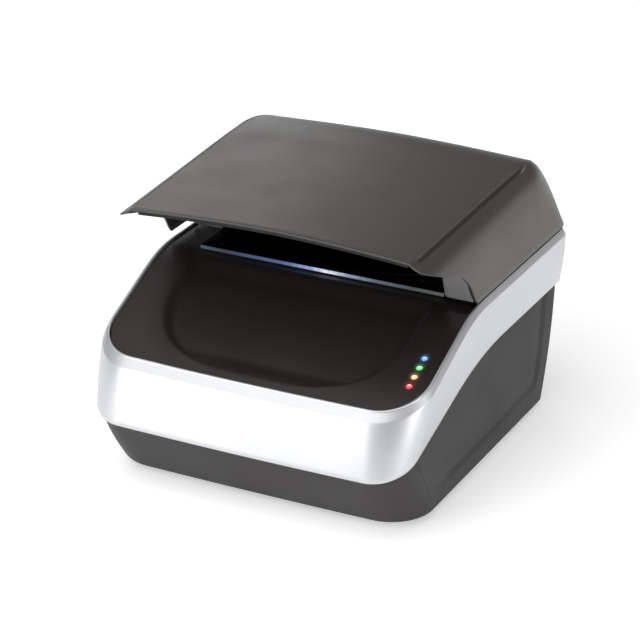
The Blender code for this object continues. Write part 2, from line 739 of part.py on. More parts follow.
def make_base_shell():
    sections = [base_section(*stations) for stations in body_stations()]
    shell = ring_solid("base_shell", sections, base_plastic())
    for side in (-1, 1):
        cut(shell, side_panel_cutter(side))
        for y in SCREW_Y:
            tag = f"{side}_{SCREW_Y.index(y)}"
            centre = (side * SCREW_X, y)
            boss = rod(f"screw_boss_{tag}", centre, BOSS_RADIUS, COVER_TOP + SEAT_GAP, BOSS_TOP)
            wall_x = BASE_HALF_WIDTH - BASE_WALL / 2
            ends = sorted((side * (SCREW_X + BOSS_RADIUS / 2), side * wall_x))
            rib = box(
                f"boss_rib_{tag}",
                (ends[0], y - BOSS_RIB / 2, COVER_TOP + SEAT_GAP + BOSS_RIB / 2),
                (ends[1], y + BOSS_RIB / 2, BOSS_TOP - BOSS_RIB / 2),
            )
            bore = rod(
                f"boss_bore_{tag}",
                centre,
                SCREW_SHANK_RADIUS + SEAT_GAP,
                BASE_FLOOR,
                BASE_FLOOR + SCREW_LENGTH + CUT_PAST,
            )
            join(shell, boss, rib)
            cut(shell, bore)
    cut(shell, io_block("io_opening", SEAT_GAP, IO_FACE - SEAT_GAP, DEEP_CUT_PAST))
    return smooth(shell)


def make_bottom_cover():
    inset = BASE_WALL + BASE_EDGE_ROUND / 2 + EDGE_GAP
    loop = [inset_point(station, inset) for station in plan_stations(BASE_PLAN)]
    cover = prism("bottom_cover", loop, BASE_FLOOR, COVER_TOP, base_plastic())
    for side in (-1, 1):
        for y in POST_Y:
            post = rod(
                f"board_post_{side}_{POST_Y.index(y)}",
                (side * POST_X, y),
                POST_RADIUS,
                BASE_FLOOR + COVER_THICKNESS / 2,
                MAIN_BOARD_FLOOR - SEAT_GAP,
            )
            join(cover, post)
        for y in SCREW_Y:
            tag = f"{side}_{SCREW_Y.index(y)}"
            centre = (side * SCREW_X, y)
            hole = rod(
                f"cover_hole_{tag}",
                centre,
                SCREW_SHANK_RADIUS + SEAT_GAP,
                BASE_FLOOR - CUT_PAST,
                COVER_TOP + CUT_PAST,
            )
            pocket = rod(
                f"cover_pocket_{tag}",
                centre,
                SCREW_HEAD_RADIUS + SEAT_GAP,
                BASE_FLOOR - CUT_PAST,
                BASE_FLOOR + SCREW_HEAD + SEAT_GAP,
            )
            cut(cover, hole, pocket)
    return cover


def make_cover_screw(name, centre):
    head = rod(name, centre, SCREW_HEAD_RADIUS, BASE_FLOOR, BASE_FLOOR + SCREW_HEAD, steel())
    shank = rod(
        f"{name}_shank",
        centre,
        SCREW_SHANK_RADIUS,
        BASE_FLOOR + SCREW_HEAD / 2,
        BASE_FLOOR + SCREW_LENGTH,
    )
    return smooth(join(head, shank))


def make_rubber_foot(name, centre):
    return smooth(rod(name, centre, FOOT_RADIUS, 0.0, BASE_FLOOR - SEAT_GAP, rubber(), sides=FINE_SIDES))


def make_fastenings():
    for side, side_name in ((-1, "left"), (1, "right")):
        for y, end_name in zip(SCREW_Y, ("front", "rear")):
            make_cover_screw(f"cover_screw_{end_name}_{side_name}", (side * SCREW_X, y))
        for y, end_name in zip(FOOT_Y, ("front", "rear")):
            make_rubber_foot(f"rubber_foot_{end_name}_{side_name}", (side * FOOT_X, y))


# Deck and window


def scoop(x, y):
    """Depth of the hand scoop below the deck, inside a rounded outline."""
    place = min(max((SCOOP_TAPER_START - y) / (SCOOP_TAPER_START - SCOOP_FRONT), 0.0), 1.0)
    half = SCOOP_HALF * (1 - place**SCOOP_POWER) ** (1 / SCOOP_POWER)
    across = 1 - ease(half - SCOOP_WALL, half, abs(x))
    along = ease(SCOOP_FRONT, SCOOP_FRONT + SCOOP_FRONT_FADE, y)
    back = 1 - ease(SCOOP_BACK_START, SCOOP_BACK_END, y)
    return SCOOP_DEPTH * across * along * back


def deck_height(x, y):
    return band_top(y) - DECK_STEP - scoop(x, y)


def deck_rows():
    """(y, half width) of the deck inside the band's lip: front corners, sides and rear corners."""
    half_width = LIP_HALF_WIDTH - EDGE_GAP
    front, radius = LIP_FRONT + FRONT_BOW + EDGE_GAP, LIP_FRONT_RADIUS - EDGE_GAP
    rear, rear_radius = LIP_REAR - EDGE_GAP, LIP_REAR_RADIUS - EDGE_GAP
    rows = []
    for step in range(CORNER_STEPS):
        angle = math.pi / 2 * step / CORNER_STEPS
        rows.append((front + radius * (1 - math.cos(angle)), half_width - radius * (1 - math.sin(angle))))
    places = [mix(front + radius, GLASS_FRONT, step / (CORNER_STEPS * 2)) for step in range(CORNER_STEPS * 2)]
    places += [mix(GLASS_FRONT, rear - rear_radius, step / END_STEPS) for step in range(END_STEPS)]
    rows += [(y, half_width) for y in places]
    for step in range(END_STEPS + 1):
        angle = math.pi / 2 * step / END_STEPS
        half = half_width - rear_radius * (1 - math.cos(angle))
        rows.append((rear - rear_radius * (1 - math.sin(angle)), half))
    return rows


def deck_point(share, y, half):
    x = share * half
    straight = LIP_HALF_WIDTH - LIP_FRONT_RADIUS
    bow = FRONT_BOW * max(1 - (x / straight) ** 2, 0.0) * (1 - ease(LIP_FRONT, SCOOP_TAPER_START, y))
    return x, y - bow, deck_height(x, y - bow)


def make_top_plate():
    spread = [math.sin(math.pi / 2 * (2 * k / DECK_COLUMNS - 1)) for k in range(DECK_COLUMNS + 1)]
    rows = [[deck_point(share, y, half) for share in spread] for y, half in deck_rows()]
    plate = sheet("top_plate", rows, DECK_WALL, gloss_black())
    window = box(
        "window_opening",
        (-OPENING_HALF, OPENING_FRONT, DECK_UNDER - CUT_PAST),
        (OPENING_HALF, OPENING_REAR, GLASS_FLOOR + CUT_PAST),
    )
    cut(plate, window)
    for index, name in enumerate(LIGHT_NAMES):
        y = LIGHT_FIRST_Y - index * LIGHT_PITCH
        hole = rod(
            f"light_hole_{name}",
            (LIGHT_X, y),
            LIGHT_RADIUS + SEAT_GAP,
            INDICATOR_TOP,
            deck_height(LIGHT_X, y) + CUT_PAST,
        )
        cut(plate, hole)
    for y in indicator_post_places():
        post = rod(
            f"indicator_post_{'front' if y < light_middle() else 'rear'}",
            (INDICATOR_X, y),
            INDICATOR_POST_RADIUS,
            INDICATOR_TOP + SEAT_GAP,
            deck_height(INDICATOR_X, y) - DECK_WALL / 2,
        )
        join(plate, post)
    return smooth(plate)


def light_middle():
    return LIGHT_FIRST_Y - LIGHT_PITCH * (len(LIGHT_NAMES) - 1) / 2


def light_reach():
    """Half the length of the indicator board."""
    return LIGHT_PITCH * (len(LIGHT_NAMES) - 1) / 2 + INDICATOR_MARGIN


def indicator_post_places():
    reach = light_reach() - INDICATOR_POST_RADIUS
    return (light_middle() - reach, light_middle() + reach)


def make_status_lights():
    colours = ((0.1, 0.35, 1.0), (0.1, 0.9, 0.25), (1.0, 0.45, 0.1), (1.0, 0.08, 0.05))
    for index, (name, colour) in enumerate(zip(LIGHT_NAMES, colours)):
        y = LIGHT_FIRST_Y - index * LIGHT_PITCH
        top = deck_height(LIGHT_X, y) + LIGHT_PROUD
        finish = material(f"light_{name}", colour, 0.2)
        smooth(rod(f"status_light_{name}", (LIGHT_X, y), LIGHT_RADIUS, INDICATOR_TOP + SEAT_GAP, top, finish))


def make_indicator_board():
    half = INDICATOR_WIDTH / 2
    return box(
        "indicator_board",
        (INDICATOR_X - half, light_middle() - light_reach(), INDICATOR_TOP - BOARD),
        (INDICATOR_X + half, light_middle() + light_reach(), INDICATOR_TOP),
        board_green(),
    )


def frame_plate(name, outer, inner, floor, top, finish):
    """A flat plate with a rectangular opening."""
    plate = box(name, (outer[0], outer[1], floor), (outer[2], outer[3], top), finish)
    opening = box(
        f"{name}_opening", (inner[0], inner[1], floor - CUT_PAST), (inner[2], inner[3], top + CUT_PAST)
    )
    return cut(plate, opening)


def make_window():
    glass = box(
        "window_glass",
        (-GLASS_HALF, GLASS_FRONT, GLASS_FLOOR),
        (GLASS_HALF, GLASS_REAR, GLASS_FLOOR + GLASS_THICKNESS),
        clear_glass(),
    )
    half = OPENING_HALF + GASKET_WIDTH
    frame_plate(
        "window_gasket",
        (-half, OPENING_FRONT - GASKET_WIDTH, half, OPENING_REAR + GASKET_WIDTH),
        (-OPENING_HALF, OPENING_FRONT, OPENING_HALF, OPENING_REAR),
        GASKET_FLOOR,
        GASKET_FLOOR + GASKET_THICKNESS,
        satin_black(),
    )
    return glass


# Hood


def roll_share(y):
    """Share of its height that the hood keeps where it rolls over at the rear."""
    place = max(y - HOOD_ROLL_START, 0.0) / (HOOD_REAR - HOOD_ROLL_START)
    return (1 - place**HOOD_ROLL_POWER) ** (1 / HOOD_ROLL_POWER)


def crown_line(y):
    """Height of the middle line, before the rear roll."""
    return HOOD_TOP_FRONT + HOOD_RISE * (y - HOOD_FRONT)


def hood_top(y):
    return HOOD_FOOT + (crown_line(y) - HOOD_FOOT) * roll_share(y)


def along_hood(y):
    """Share of the way from the hood's front to its rear."""
    return (y - HOOD_FRONT) / (HOOD_REAR - HOOD_FRONT)


def crown_fall(x, y):
    """How far the crown lies below its middle, less towards the rear."""
    drop = mix(HOOD_CROWN_DROP_FRONT, HOOD_CROWN_DROP_REAR, along_hood(y))
    return drop * (abs(x) / HOOD_CREASE_REAR) ** HOOD_CROWN_POWER


def crease_drop(y):
    """Depth of the crease's step, which fades out before the rear roll."""
    start, end = HOOD_CREASE_FADE
    faded = min(max((y - start) / (end - start), 0.0), 1.0)
    return HOOD_CREASE_DROP * (1 - faded)


def crease_half(y):
    """Half width of the crown, which flares a little towards the rear."""
    return mix(HOOD_CREASE_FRONT, HOOD_CREASE_REAR, along_hood(y))


def shoulder_half_width(y, drop_share):
    """Half width of the side at a share of the way down from the crease to the foot."""
    start = crease_half(y) + HOOD_CREASE_WIDTH
    return mix(start, HOOD_HALF_WIDTH, follow(SHOULDER_DROP_SHARES, SHOULDER_OUT_SHARES, drop_share))


def hood_half_width(y, z):
    """Half width of the side at a height, with rear corners that are rounder at the top."""
    share = min((z - HOOD_FOOT) / (HOOD_TOP_FRONT - HOOD_FOOT), 1.0)
    corner = mix(HOOD_CORNER_FOOT, HOOD_CORNER_TOP, share)
    past = max(y - (HOOD_REAR - corner), 0.0) / corner
    return HOOD_HALF_WIDTH - corner * (1 - math.sqrt(max(1 - past**2, 0.0)))


def sweep_height(y, side):
    """Height of a side wall's lower edge at a place along the hood."""
    rear = SWEEP_REAR_LEFT if side < 0 else SWEEP_REAR_RIGHT
    place = (y - HOOD_FRONT) / (rear - HOOD_FRONT)
    return mix(SWEEP_TOP, HOOD_FOOT, follow(SWEEP_PLACE_SHARES, SWEEP_DROP_SHARES, max(place, 0.0)))


def hood_half_section(y, side):
    """(x, y, z) from the crown's middle out over the crease and down one side."""
    crown, half = crown_line(y), crease_half(y)
    points = [(half * share, crown - crown_fall(half * share, y)) for share in CROWN_PLACE_SHARES]
    edge = points[-1][1]
    for place, fall in zip(CREASE_PLACE_SHARES, CREASE_FALL_SHARES):
        points.append((half + HOOD_CREASE_WIDTH * place, edge - crease_drop(y) * fall))
    side_top = edge - crease_drop(y)
    reach = (side_top - sweep_height(y, side)) / (side_top - HOOD_FOOT)
    for step in range(1, HOOD_SIDE_STEPS + 1):
        share = reach * (step / HOOD_SIDE_STEPS) ** SIDE_STEP_POWER
        points.append((shoulder_half_width(y, share), mix(side_top, HOOD_FOOT, share)))
    kept = roll_share(y)
    lowered = [(x, HOOD_FOOT + (z - HOOD_FOOT) * kept) for x, z in points]
    return [(side * x * hood_half_width(y, z) / HOOD_HALF_WIDTH, y, z) for x, z in lowered]


def hood_places():
    """Places along the hood for its sections, close together where it curves."""
    steps = [(step / SWEEP_STEPS) ** SWEEP_STEP_POWER for step in range(SWEEP_STEPS)]
    places = [mix(HOOD_FRONT, SWEEP_REAR_LEFT, share) for share in steps]
    for step in range(HOOD_LONG_STEPS):
        places.append(mix(SWEEP_REAR_LEFT, HOOD_ROLL_START, step / HOOD_LONG_STEPS))
    for step in range(HOOD_ROLL_STEPS + 1):
        angle = math.pi / 2 * step / HOOD_ROLL_STEPS
        places.append(mix(HOOD_ROLL_START, HOOD_REAR, math.sin(angle)))
    return places


def make_hood_shell():
    rows = [hood_half_section(y, -1)[:0:-1] + hood_half_section(y, 1) for y in hood_places()[:-1]]
    rows.append([(x, HOOD_REAR, HOOD_FOOT) for x, _, _ in rows[-1]])
    return smooth(sheet("hood_shell", rows, HOOD_WALL, hood_plastic()))


def liner_height(x, y):
    """Top of the liner's ceiling, just under the shell."""
    slope = (hood_top(y) - hood_top(y + CUT_PAST)) / CUT_PAST
    return hood_top(y) - crown_fall(x, y) - (HOOD_WALL + SEAT_GAP) * math.sqrt(1 + max(slope, 0.0) ** 2)


def liner_places():
    return [y for y in hood_places() if LINER_FRONT < y < LINER_REAR]


def make_hood_liner():
    places = [LINER_FRONT, *liner_places(), LINER_REAR]
    spread = [-share for share in CROWN_PLACE_SHARES[:0:-1]] + list(CROWN_PLACE_SHARES)
    half = LINER_CEILING_HALF
    rows = []
    for y in places:
        wide = half * hood_half_width(y, liner_height(half, y)) / HOOD_HALF_WIDTH
        rows.append([(share * wide, y, liner_height(share * wide, y)) for share in spread])
    liner = sheet("hood_liner", rows, LINER_WALL, satin_black())
    for side in (-1, 1):
        join(liner, cheek_wall(side, places), cheek_face(side))
    rear = rear_wall_loop(LINER_REAR)
    join(liner, prism("liner_rear_wall", rear, LINER_REAR - LINER_WALL, LINER_REAR - TAPE_GAP, axis="Y"))
    return smooth(liner)


def cheek_place(z, side):
    """Place of a cheek's leaning front at a height."""
    front = CHEEK_FRONT_LEFT if side < 0 else CHEEK_FRONT_RIGHT
    return front - CHEEK_LEAN * (z - CHEEK_FOOT)


def cheek_limit(z, side):
    """Half width that a cheek's front may reach at a height inside the shell."""
    y = cheek_place(z, side)
    side_top = crown_line(y) - crown_fall(crease_half(y), y) - crease_drop(y)
    share = min(max((side_top - z) / (side_top - HOOD_FOOT), 0.0), 1.0)
    return shoulder_half_width(y, share) - HOOD_WALL - LINER_SIDE_GAP


def cheek_wall(side, places):
    """The wall that stands beside the window from the cheek's front to the rear wall."""
    inner, outer = side * CHEEK_HALF, side * (CHEEK_HALF + LINER_WALL)
    front = cheek_place(CHEEK_FOOT, side)
    top = liner_height(outer, front) - LINER_WALL / 2
    front_top = cheek_place(top, side)
    sections = [
        [(inner, front, CHEEK_FOOT), (outer, front, CHEEK_FOOT), (outer, front_top, top), (inner, front_top, top)]
    ]
    for y in [y for y in places if y > front + CUT_PAST]:
        top = liner_height(outer, y) - LINER_WALL / 2
        sections.append([(inner, y, CHEEK_FOOT), (outer, y, CHEEK_FOOT), (outer, y, top), (inner, y, top)])
    return loft(f"cheek_wall_{side}", sections)


def cheek_face(side):
    """The leaning front wall that closes a cheek, between its inner wall and the shell."""
    inner = side * (CHEEK_HALF + LINER_WALL / 2)
    steps = [mix(CHEEK_FOOT, CHEEK_FRONT_TOP, step / END_STEPS) for step in range(END_STEPS + 1)]
    loop = [(side * cheek_limit(z, side), z) for z in steps] + [(inner, CHEEK_FRONT_TOP), (inner, CHEEK_FOOT)]
    front = [(x, cheek_place(z, side) + TAPE_GAP, z) for x, z in loop]
    rear = [(x, cheek_place(z, side) + LINER_WALL, z) for x, z in loop]
    return loft(f"cheek_face_{side}", [front, rear])


def rear_wall_loop(y):
    top = liner_height(CHEEK_HALF, y) - LINER_WALL / 2
    half = CHEEK_HALF + LINER_WALL / 2
    return [(-half, CHEEK_FOOT + TAPE_GAP), (half, CHEEK_FOOT + TAPE_GAP), (half, top), (-half, top)]


# Hood hinge


def knuckle(name, low, high):
    return rod(name, (HINGE_AXIS_Y, HINGE_AXIS_Z), KNUCKLE_RADIUS, low, high, axis="X")


def knuckle_bore(name, low, high):
    radius = PIN_RADIUS + SEAT_GAP
    return rod(name, (HINGE_AXIS_Y, HINGE_AXIS_Z), radius, low - CUT_PAST, high + CUT_PAST, axis="X")


def make_hinge(side, side_name):
    """A bracket screwed to the deck, an arm fixed to the liner, and the pin through both."""
    near, far = HINGE_INNER_X, HINGE_INNER_X + KNUCKLE_LENGTH
    low, high = sorted((side * near, side * far))
    foot_floor = DECK_TOP + SEAT_GAP
    foot_low, foot_high = sorted((side * (far - BRACKET_WIDTH), side * far))
    foot = box(
        f"hinge_bracket_{side_name}",
        (foot_low, BRACKET_BACK - BRACKET_LENGTH, foot_floor),
        (foot_high, BRACKET_BACK, foot_floor + HINGE_PLATE),
        steel(),
    )
    arm_floor = HINGE_AXIS_Z - HINGE_PLATE / 2
    upright = box(
        f"bracket_upright_{side_name}",
        (low, BRACKET_BACK - HINGE_PLATE, foot_floor + HINGE_PLATE / 2),
        (high, BRACKET_BACK, arm_floor + HINGE_PLATE),
    )
    reach = box(
        f"bracket_reach_{side_name}",
        (low, BRACKET_BACK - HINGE_PLATE / 2, arm_floor),
        (high, HINGE_AXIS_Y, arm_floor + HINGE_PLATE),
    )
    join(foot, upright, reach, knuckle(f"bracket_knuckle_{side_name}", low, high))
    cut(foot, knuckle_bore(f"bracket_bore_{side_name}", low, high))

    near, far = far + SEAT_GAP, far + SEAT_GAP + KNUCKLE_LENGTH
    low, high = sorted((side * near, side * far))
    leaf_low, leaf_high = sorted((side * near, side * (near + ARM_WIDTH)))
    leaf_y = LINER_REAR + SEAT_GAP
    leaf = box(
        f"hinge_arm_{side_name}",
        (leaf_low, leaf_y, ARM_LEAF_FOOT),
        (leaf_high, leaf_y + HINGE_PLATE, ARM_LEAF_TOP),
        steel(),
    )
    strip_top = HINGE_AXIS_Z + KNUCKLE_RADIUS
    strip = box(
        f"arm_strip_{side_name}",
        (low, leaf_y + HINGE_PLATE / 2, strip_top - HINGE_PLATE),
        (high, HINGE_AXIS_Y, strip_top),
    )
    join(leaf, strip, knuckle(f"arm_knuckle_{side_name}", low, high))
    cut(leaf, knuckle_bore(f"arm_bore_{side_name}", low, high))

    pin_near = HINGE_INNER_X - SEAT_GAP
    pin_far = far + SEAT_GAP
    pin_ends = sorted((side * pin_near, side * (pin_far + PIN_HEAD / 2)))
    head_ends = sorted((side * pin_far, side * (pin_far + PIN_HEAD)))
    centre = (HINGE_AXIS_Y, HINGE_AXIS_Z)
    pin = rod(f"hinge_pin_{side_name}", centre, PIN_RADIUS, *pin_ends, steel(), axis="X")
    join(pin, rod(f"pin_head_{side_name}", centre, PIN_HEAD_RADIUS, *head_ends, axis="X"))
    smooth(pin)


# Rear panel and sockets


def io_block(name, grow, face, past):
    """The panel's outer block, whose rear face leans with the housing's rear wall."""
    half = IO_HALF_WIDTH + grow
    floor, top = IO_FLOOR - grow, IO_TOP + grow
    front = [(-half, face, floor), (half, face, floor), (half, face, top), (-half, face, top)]
    rear = [
        (-half, IO_DEPTH_FLOOR + past, floor),
        (half, IO_DEPTH_FLOOR + past, floor),
        (half, IO_DEPTH_TOP + past, top),
        (-half, IO_DEPTH_TOP + past, top),
    ]
    return loft(name, [front, rear])


def make_io_panel():
    panel = io_block("io_panel", 0, IO_FACE, 0)
    panel.hide_render = False
    panel.display_type = "TEXTURED"
    panel.data.materials.append(satin_black())
    cut(panel, io_block("io_hollow", -IO_WALL, IO_FACE + IO_WALL, DEEP_CUT_PAST))
    for name, x, width in (("usb", USB_X, USB_WIDTH), ("jack", JACK_X, JACK_WIDTH)):
        half = width / 2 + SEAT_GAP
        hole = box(
            f"{name}_cutout",
            (x - half, IO_FACE - CUT_PAST, PARTS_FLOOR - SEAT_GAP),
            (x + half, IO_FACE + IO_WALL + CUT_PAST, PARTS_FLOOR + USB_HEIGHT + SEAT_GAP),
        )
        cut(panel, hole)
    cut(panel, lock_slot("panel_lock_slot", IO_FACE - CUT_PAST, IO_FACE + IO_WALL + CUT_PAST))
    return panel


def lock_slot(name, low, high):
    half_width, half_height = LOCK_SLOT[0] / 2, LOCK_SLOT[1] / 2
    return box(
        name, (LOCK_X - half_width, low, LOCK_Z - half_height), (LOCK_X + half_width, high, LOCK_Z + half_height)
    )


def make_lock_plate():
    half_width, half_height = LOCK_PLATE[0] / 2, LOCK_PLATE[2] / 2
    rear = IO_FACE - SEAT_GAP
    plate = box(
        "lock_plate",
        (LOCK_X - half_width, rear - LOCK_PLATE[1], LOCK_Z - half_height),
        (LOCK_X + half_width, rear, LOCK_Z + half_height),
        steel(),
    )
    return cut(plate, lock_slot("plate_lock_slot", rear - LOCK_PLATE[1] - CUT_PAST, rear + CUT_PAST))


def make_sockets():
    rear = IO_FACE + IO_WALL + SOCKET_PROUD
    front = rear - USB_LENGTH
    middle = PARTS_FLOOR + USB_HEIGHT / 2
    usb = box(
        "usb_socket",
        (USB_X - USB_WIDTH / 2, front, PARTS_FLOOR),
        (USB_X + USB_WIDTH / 2, rear, PARTS_FLOOR + USB_HEIGHT),
        steel(),
    )
    mouth = box(
        "usb_mouth",
        (USB_X - USB_MOUTH_WIDTH / 2, rear - SOCKET_DEPTH, middle - USB_MOUTH_HEIGHT / 2),
        (USB_X + USB_MOUTH_WIDTH / 2, rear + CUT_PAST, middle + USB_MOUTH_HEIGHT / 2),
    )
    cut(usb, mouth)
    jack = box(
        "power_jack",
        (JACK_X - JACK_WIDTH / 2, front, PARTS_FLOOR),
        (JACK_X + JACK_WIDTH / 2, rear, PARTS_FLOOR + USB_HEIGHT),
        satin_black(),
    )
    bore = rod("jack_mouth", (JACK_X, middle), JACK_MOUTH_RADIUS, rear - SOCKET_DEPTH, rear + CUT_PAST, axis="Y")
    cut(jack, bore)


# Electronics


def make_main_board():
    board = box(
        "main_board",
        (-MAIN_BOARD_HALF, MAIN_BOARD_FRONT, MAIN_BOARD_FLOOR),
        (MAIN_BOARD_HALF, IO_FACE - LOCK_PLATE[1] - EDGE_GAP, MAIN_BOARD_TOP),
        board_green(),
    )
    x, y = CHIP_PLACE
    half = CHIP_SIDE / 2
    box(
        "processor_chip",
        (x - half, y - half, PARTS_FLOOR),
        (x + half, y + half, PARTS_FLOOR + CHIP_HEIGHT),
        satin_black(),
    )
    x, y = MODULE_PLACE
    box(
        "chip_reader_module",
        (x - MODULE_SIZE[0] / 2, y - MODULE_SIZE[1] / 2, PARTS_FLOOR),
        (x + MODULE_SIZE[0] / 2, y + MODULE_SIZE[1] / 2, PARTS_FLOOR + MODULE_SIZE[2]),
        steel(),
    )
    buzzer_top = PARTS_FLOOR + BUZZER_HEIGHT
    smooth(rod("buzzer", BUZZER_PLACE, BUZZER_RADIUS, PARTS_FLOOR, buzzer_top, satin_black()))
    return board


def make_antenna_board():
    return frame_plate(
        "antenna_board",
        (-ANTENNA_HALF, ANTENNA_FRONT, ANTENNA_HALF, ANTENNA_REAR),
        (-OPENING_HALF, OPENING_FRONT, OPENING_HALF, OPENING_REAR),
        ANTENNA_TOP - BOARD,
        ANTENNA_TOP,
        board_green(),
    )


def box_section(inset, z):
    """The light box's plan at a height: its full size above the shoulder, drawn in below it."""
    share = min(max((z - BOX_FLOOR) / (BOX_SHOULDER - BOX_FLOOR), 0.0), 1.0)
    half = mix(BOX_FOOT_HALF, BOX_HALF_WIDTH, share) - inset
    front = mix(WINDOW_MIDDLE - BOX_FOOT_HALF, BOX_FRONT, share) + inset
    rear = mix(WINDOW_MIDDLE + BOX_FOOT_HALF, BOX_REAR, share) - inset
    return [(-half, front, z), (half, front, z), (half, rear, z), (-half, rear, z)]


def make_optics_box():
    heights = (BOX_FLOOR, BOX_SHOULDER, BOX_TOP)
    shell = loft("optics_box", [box_section(0, z) for z in heights], satin_black())
    inner_heights = (BOX_FLOOR + BOX_WALL, BOX_SHOULDER, BOX_TOP + CUT_PAST)
    cut(shell, loft("optics_hollow", [box_section(BOX_WALL, z) for z in inner_heights]))
    lens_hole = rod(
        "lens_hole",
        (0, WINDOW_MIDDLE),
        HOLDER_RADIUS + SEAT_GAP,
        BOX_FLOOR - CUT_PAST,
        BOX_FLOOR + BOX_WALL + CUT_PAST,
        sides=FINE_SIDES,
    )
    return cut(shell, lens_hole)


def make_illumination():
    low, high = BOX_FRONT + LIGHT_BOARD_MARGIN, BOX_REAR - LIGHT_BOARD_MARGIN
    top = LIGHT_BOARD_FLOOR + LIGHT_BOARD_HEIGHT
    for side, side_name in ((-1, "left"), (1, "right")):
        outer = BOX_HALF_WIDTH - BOX_WALL - SEAT_GAP
        inner = outer - BOARD
        ends = sorted((side * inner, side * outer))
        box(
            f"illumination_board_{side_name}",
            (ends[0], low, LIGHT_BOARD_FLOOR),
            (ends[1], high, top),
            board_green(),
        )
        ends = sorted((side * (inner - SEAT_GAP - DIFFUSER), side * (inner - SEAT_GAP)))
        finish = material("diffuser_white", (0.85, 0.86, 0.86), 0.4)
        box(f"diffuser_{side_name}", (ends[0], low, LIGHT_BOARD_FLOOR), (ends[1], high, top), finish)


def make_camera():
    centre = (0, WINDOW_MIDDLE)
    half = CAMERA_BOARD_SIDE / 2
    box(
        "camera_board",
        (-half, WINDOW_MIDDLE - half, CAMERA_FLOOR),
        (half, WINDOW_MIDDLE + half, CAMERA_TOP),
        board_green(),
    )
    floor = CAMERA_TOP + SEAT_GAP
    top = floor + HOLDER_HEIGHT
    holder = rod("lens_holder", centre, HOLDER_RADIUS, floor, top, satin_black(), sides=FINE_SIDES)
    bore = rod(
        "holder_bore",
        centre,
        HOLDER_BORE,
        floor + LENS_SEAT / 2,
        top + CUT_PAST,
        sides=FINE_SIDES,
    )
    smooth(cut(holder, bore))
    barrel_floor = floor + LENS_SEAT / 2 + SEAT_GAP
    barrel_top = barrel_floor + BARREL_HEIGHT
    barrel = rod(
        "lens_barrel", centre, HOLDER_BORE - SEAT_GAP, barrel_floor, barrel_top, satin_black(), sides=FINE_SIDES
    )
    lens_floor = barrel_top - LENS_SEAT
    well = rod("barrel_well", centre, BARREL_BORE, lens_floor - SEAT_GAP, barrel_top + CUT_PAST, sides=FINE_SIDES)
    smooth(cut(barrel, well))
    smooth(
        rod(
            "lens_glass",
            centre,
            BARREL_BORE - SEAT_GAP,
            lens_floor,
            lens_floor + LENS_THICKNESS,
            clear_glass(),
            sides=FINE_SIDES,
        )
    )


def make_camera_ribbon():
    """A flat cable from a plug under the camera board, out in a half turn, to the main board."""
    high, low = CAMERA_FLOOR - SEAT_GAP, PARTS_FLOOR
    start = WINDOW_MIDDLE - CAMERA_BOARD_SIDE / 2 + RIBBON_PLUG
    radius = (high - low) / 2
    outer = [(start, high)]
    inner = [(start, high - RIBBON_THICKNESS)]
    for step in range(RIBBON_STEPS + 1):
        angle = math.pi * step / RIBBON_STEPS
        for path, size in ((outer, radius), (inner, radius - RIBBON_THICKNESS)):
            y = start - RIBBON_REACH - size * math.sin(angle)
            path.append((y, (high + low) / 2 + size * math.cos(angle)))
    outer.append((start, low))
    inner.append((start, low + RIBBON_THICKNESS))
    finish = material("ribbon", (0.75, 0.42, 0.12), 0.4)
    return prism(
        "camera_ribbon", outer + inner[::-1], -RIBBON_WIDTH / 2, RIBBON_WIDTH / 2, finish, axis="X"
    )


def hang_hood():
    """Hangs the hood and everything fixed to it from an empty on the hinge axis."""
    pivot = bpy.data.objects.new("hood_pivot", None)
    pivot.location = (0.0, HINGE_AXIS_Y, HINGE_AXIS_Z)
    bpy.context.scene.collection.objects.link(pivot)
    bpy.context.view_layer.update()
    names = ["hood_shell", "hood_liner"]
    for side_name in ("left", "right"):
        names += [f"hinge_arm_{side_name}", f"hinge_pin_{side_name}"]
    for name in names:
        piece = bpy.data.objects[name]
        piece.parent = pivot
        piece.matrix_parent_inverse = pivot.matrix_world.inverted()


def main():
    clear_scene()
    make_base_shell()
    make_bottom_cover()
    make_fastenings()
    make_silver_band()
    make_top_plate()
    make_window()
    make_status_lights()
    make_indicator_board()
    make_hood_shell()
    make_hood_liner()
    for side, side_name in ((-1, "left"), (1, "right")):
        make_hinge(side, side_name)
    make_io_panel()
    make_lock_plate()
    make_sockets()
    make_main_board()
    make_antenna_board()
    make_optics_box()
    make_illumination()
    make_camera()
    make_camera_ribbon()
    hang_hood()


main()
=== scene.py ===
"""Looks of the passport reader: finishes, fine shapes, studio and camera.

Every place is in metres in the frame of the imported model: +Z up and the front towards -Y.
"""

import json
import logging
import math
from collections.abc import Sequence
from dataclasses import dataclass
from enum import Enum

import bmesh
import bpy
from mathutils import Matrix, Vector


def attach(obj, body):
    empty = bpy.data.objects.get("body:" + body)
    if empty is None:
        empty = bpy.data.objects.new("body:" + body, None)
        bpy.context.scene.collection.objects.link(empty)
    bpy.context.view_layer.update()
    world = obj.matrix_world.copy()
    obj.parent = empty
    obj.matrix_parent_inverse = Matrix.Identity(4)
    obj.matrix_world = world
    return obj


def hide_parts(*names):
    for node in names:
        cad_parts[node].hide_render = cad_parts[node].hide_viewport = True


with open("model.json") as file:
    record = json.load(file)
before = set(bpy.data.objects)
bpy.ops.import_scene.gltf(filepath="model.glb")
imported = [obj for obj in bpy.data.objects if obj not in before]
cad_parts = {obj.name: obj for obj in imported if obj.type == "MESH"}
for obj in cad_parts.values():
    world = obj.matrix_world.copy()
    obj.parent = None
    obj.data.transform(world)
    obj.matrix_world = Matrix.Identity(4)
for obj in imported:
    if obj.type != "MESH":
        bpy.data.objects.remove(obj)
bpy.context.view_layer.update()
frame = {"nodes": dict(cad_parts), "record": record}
LOG = logging.getLogger("scene")
Pair = tuple[float, float]
Colour = tuple[float, float, float]
Point = tuple[float, float, float]
Station = tuple[float, float, float, float]
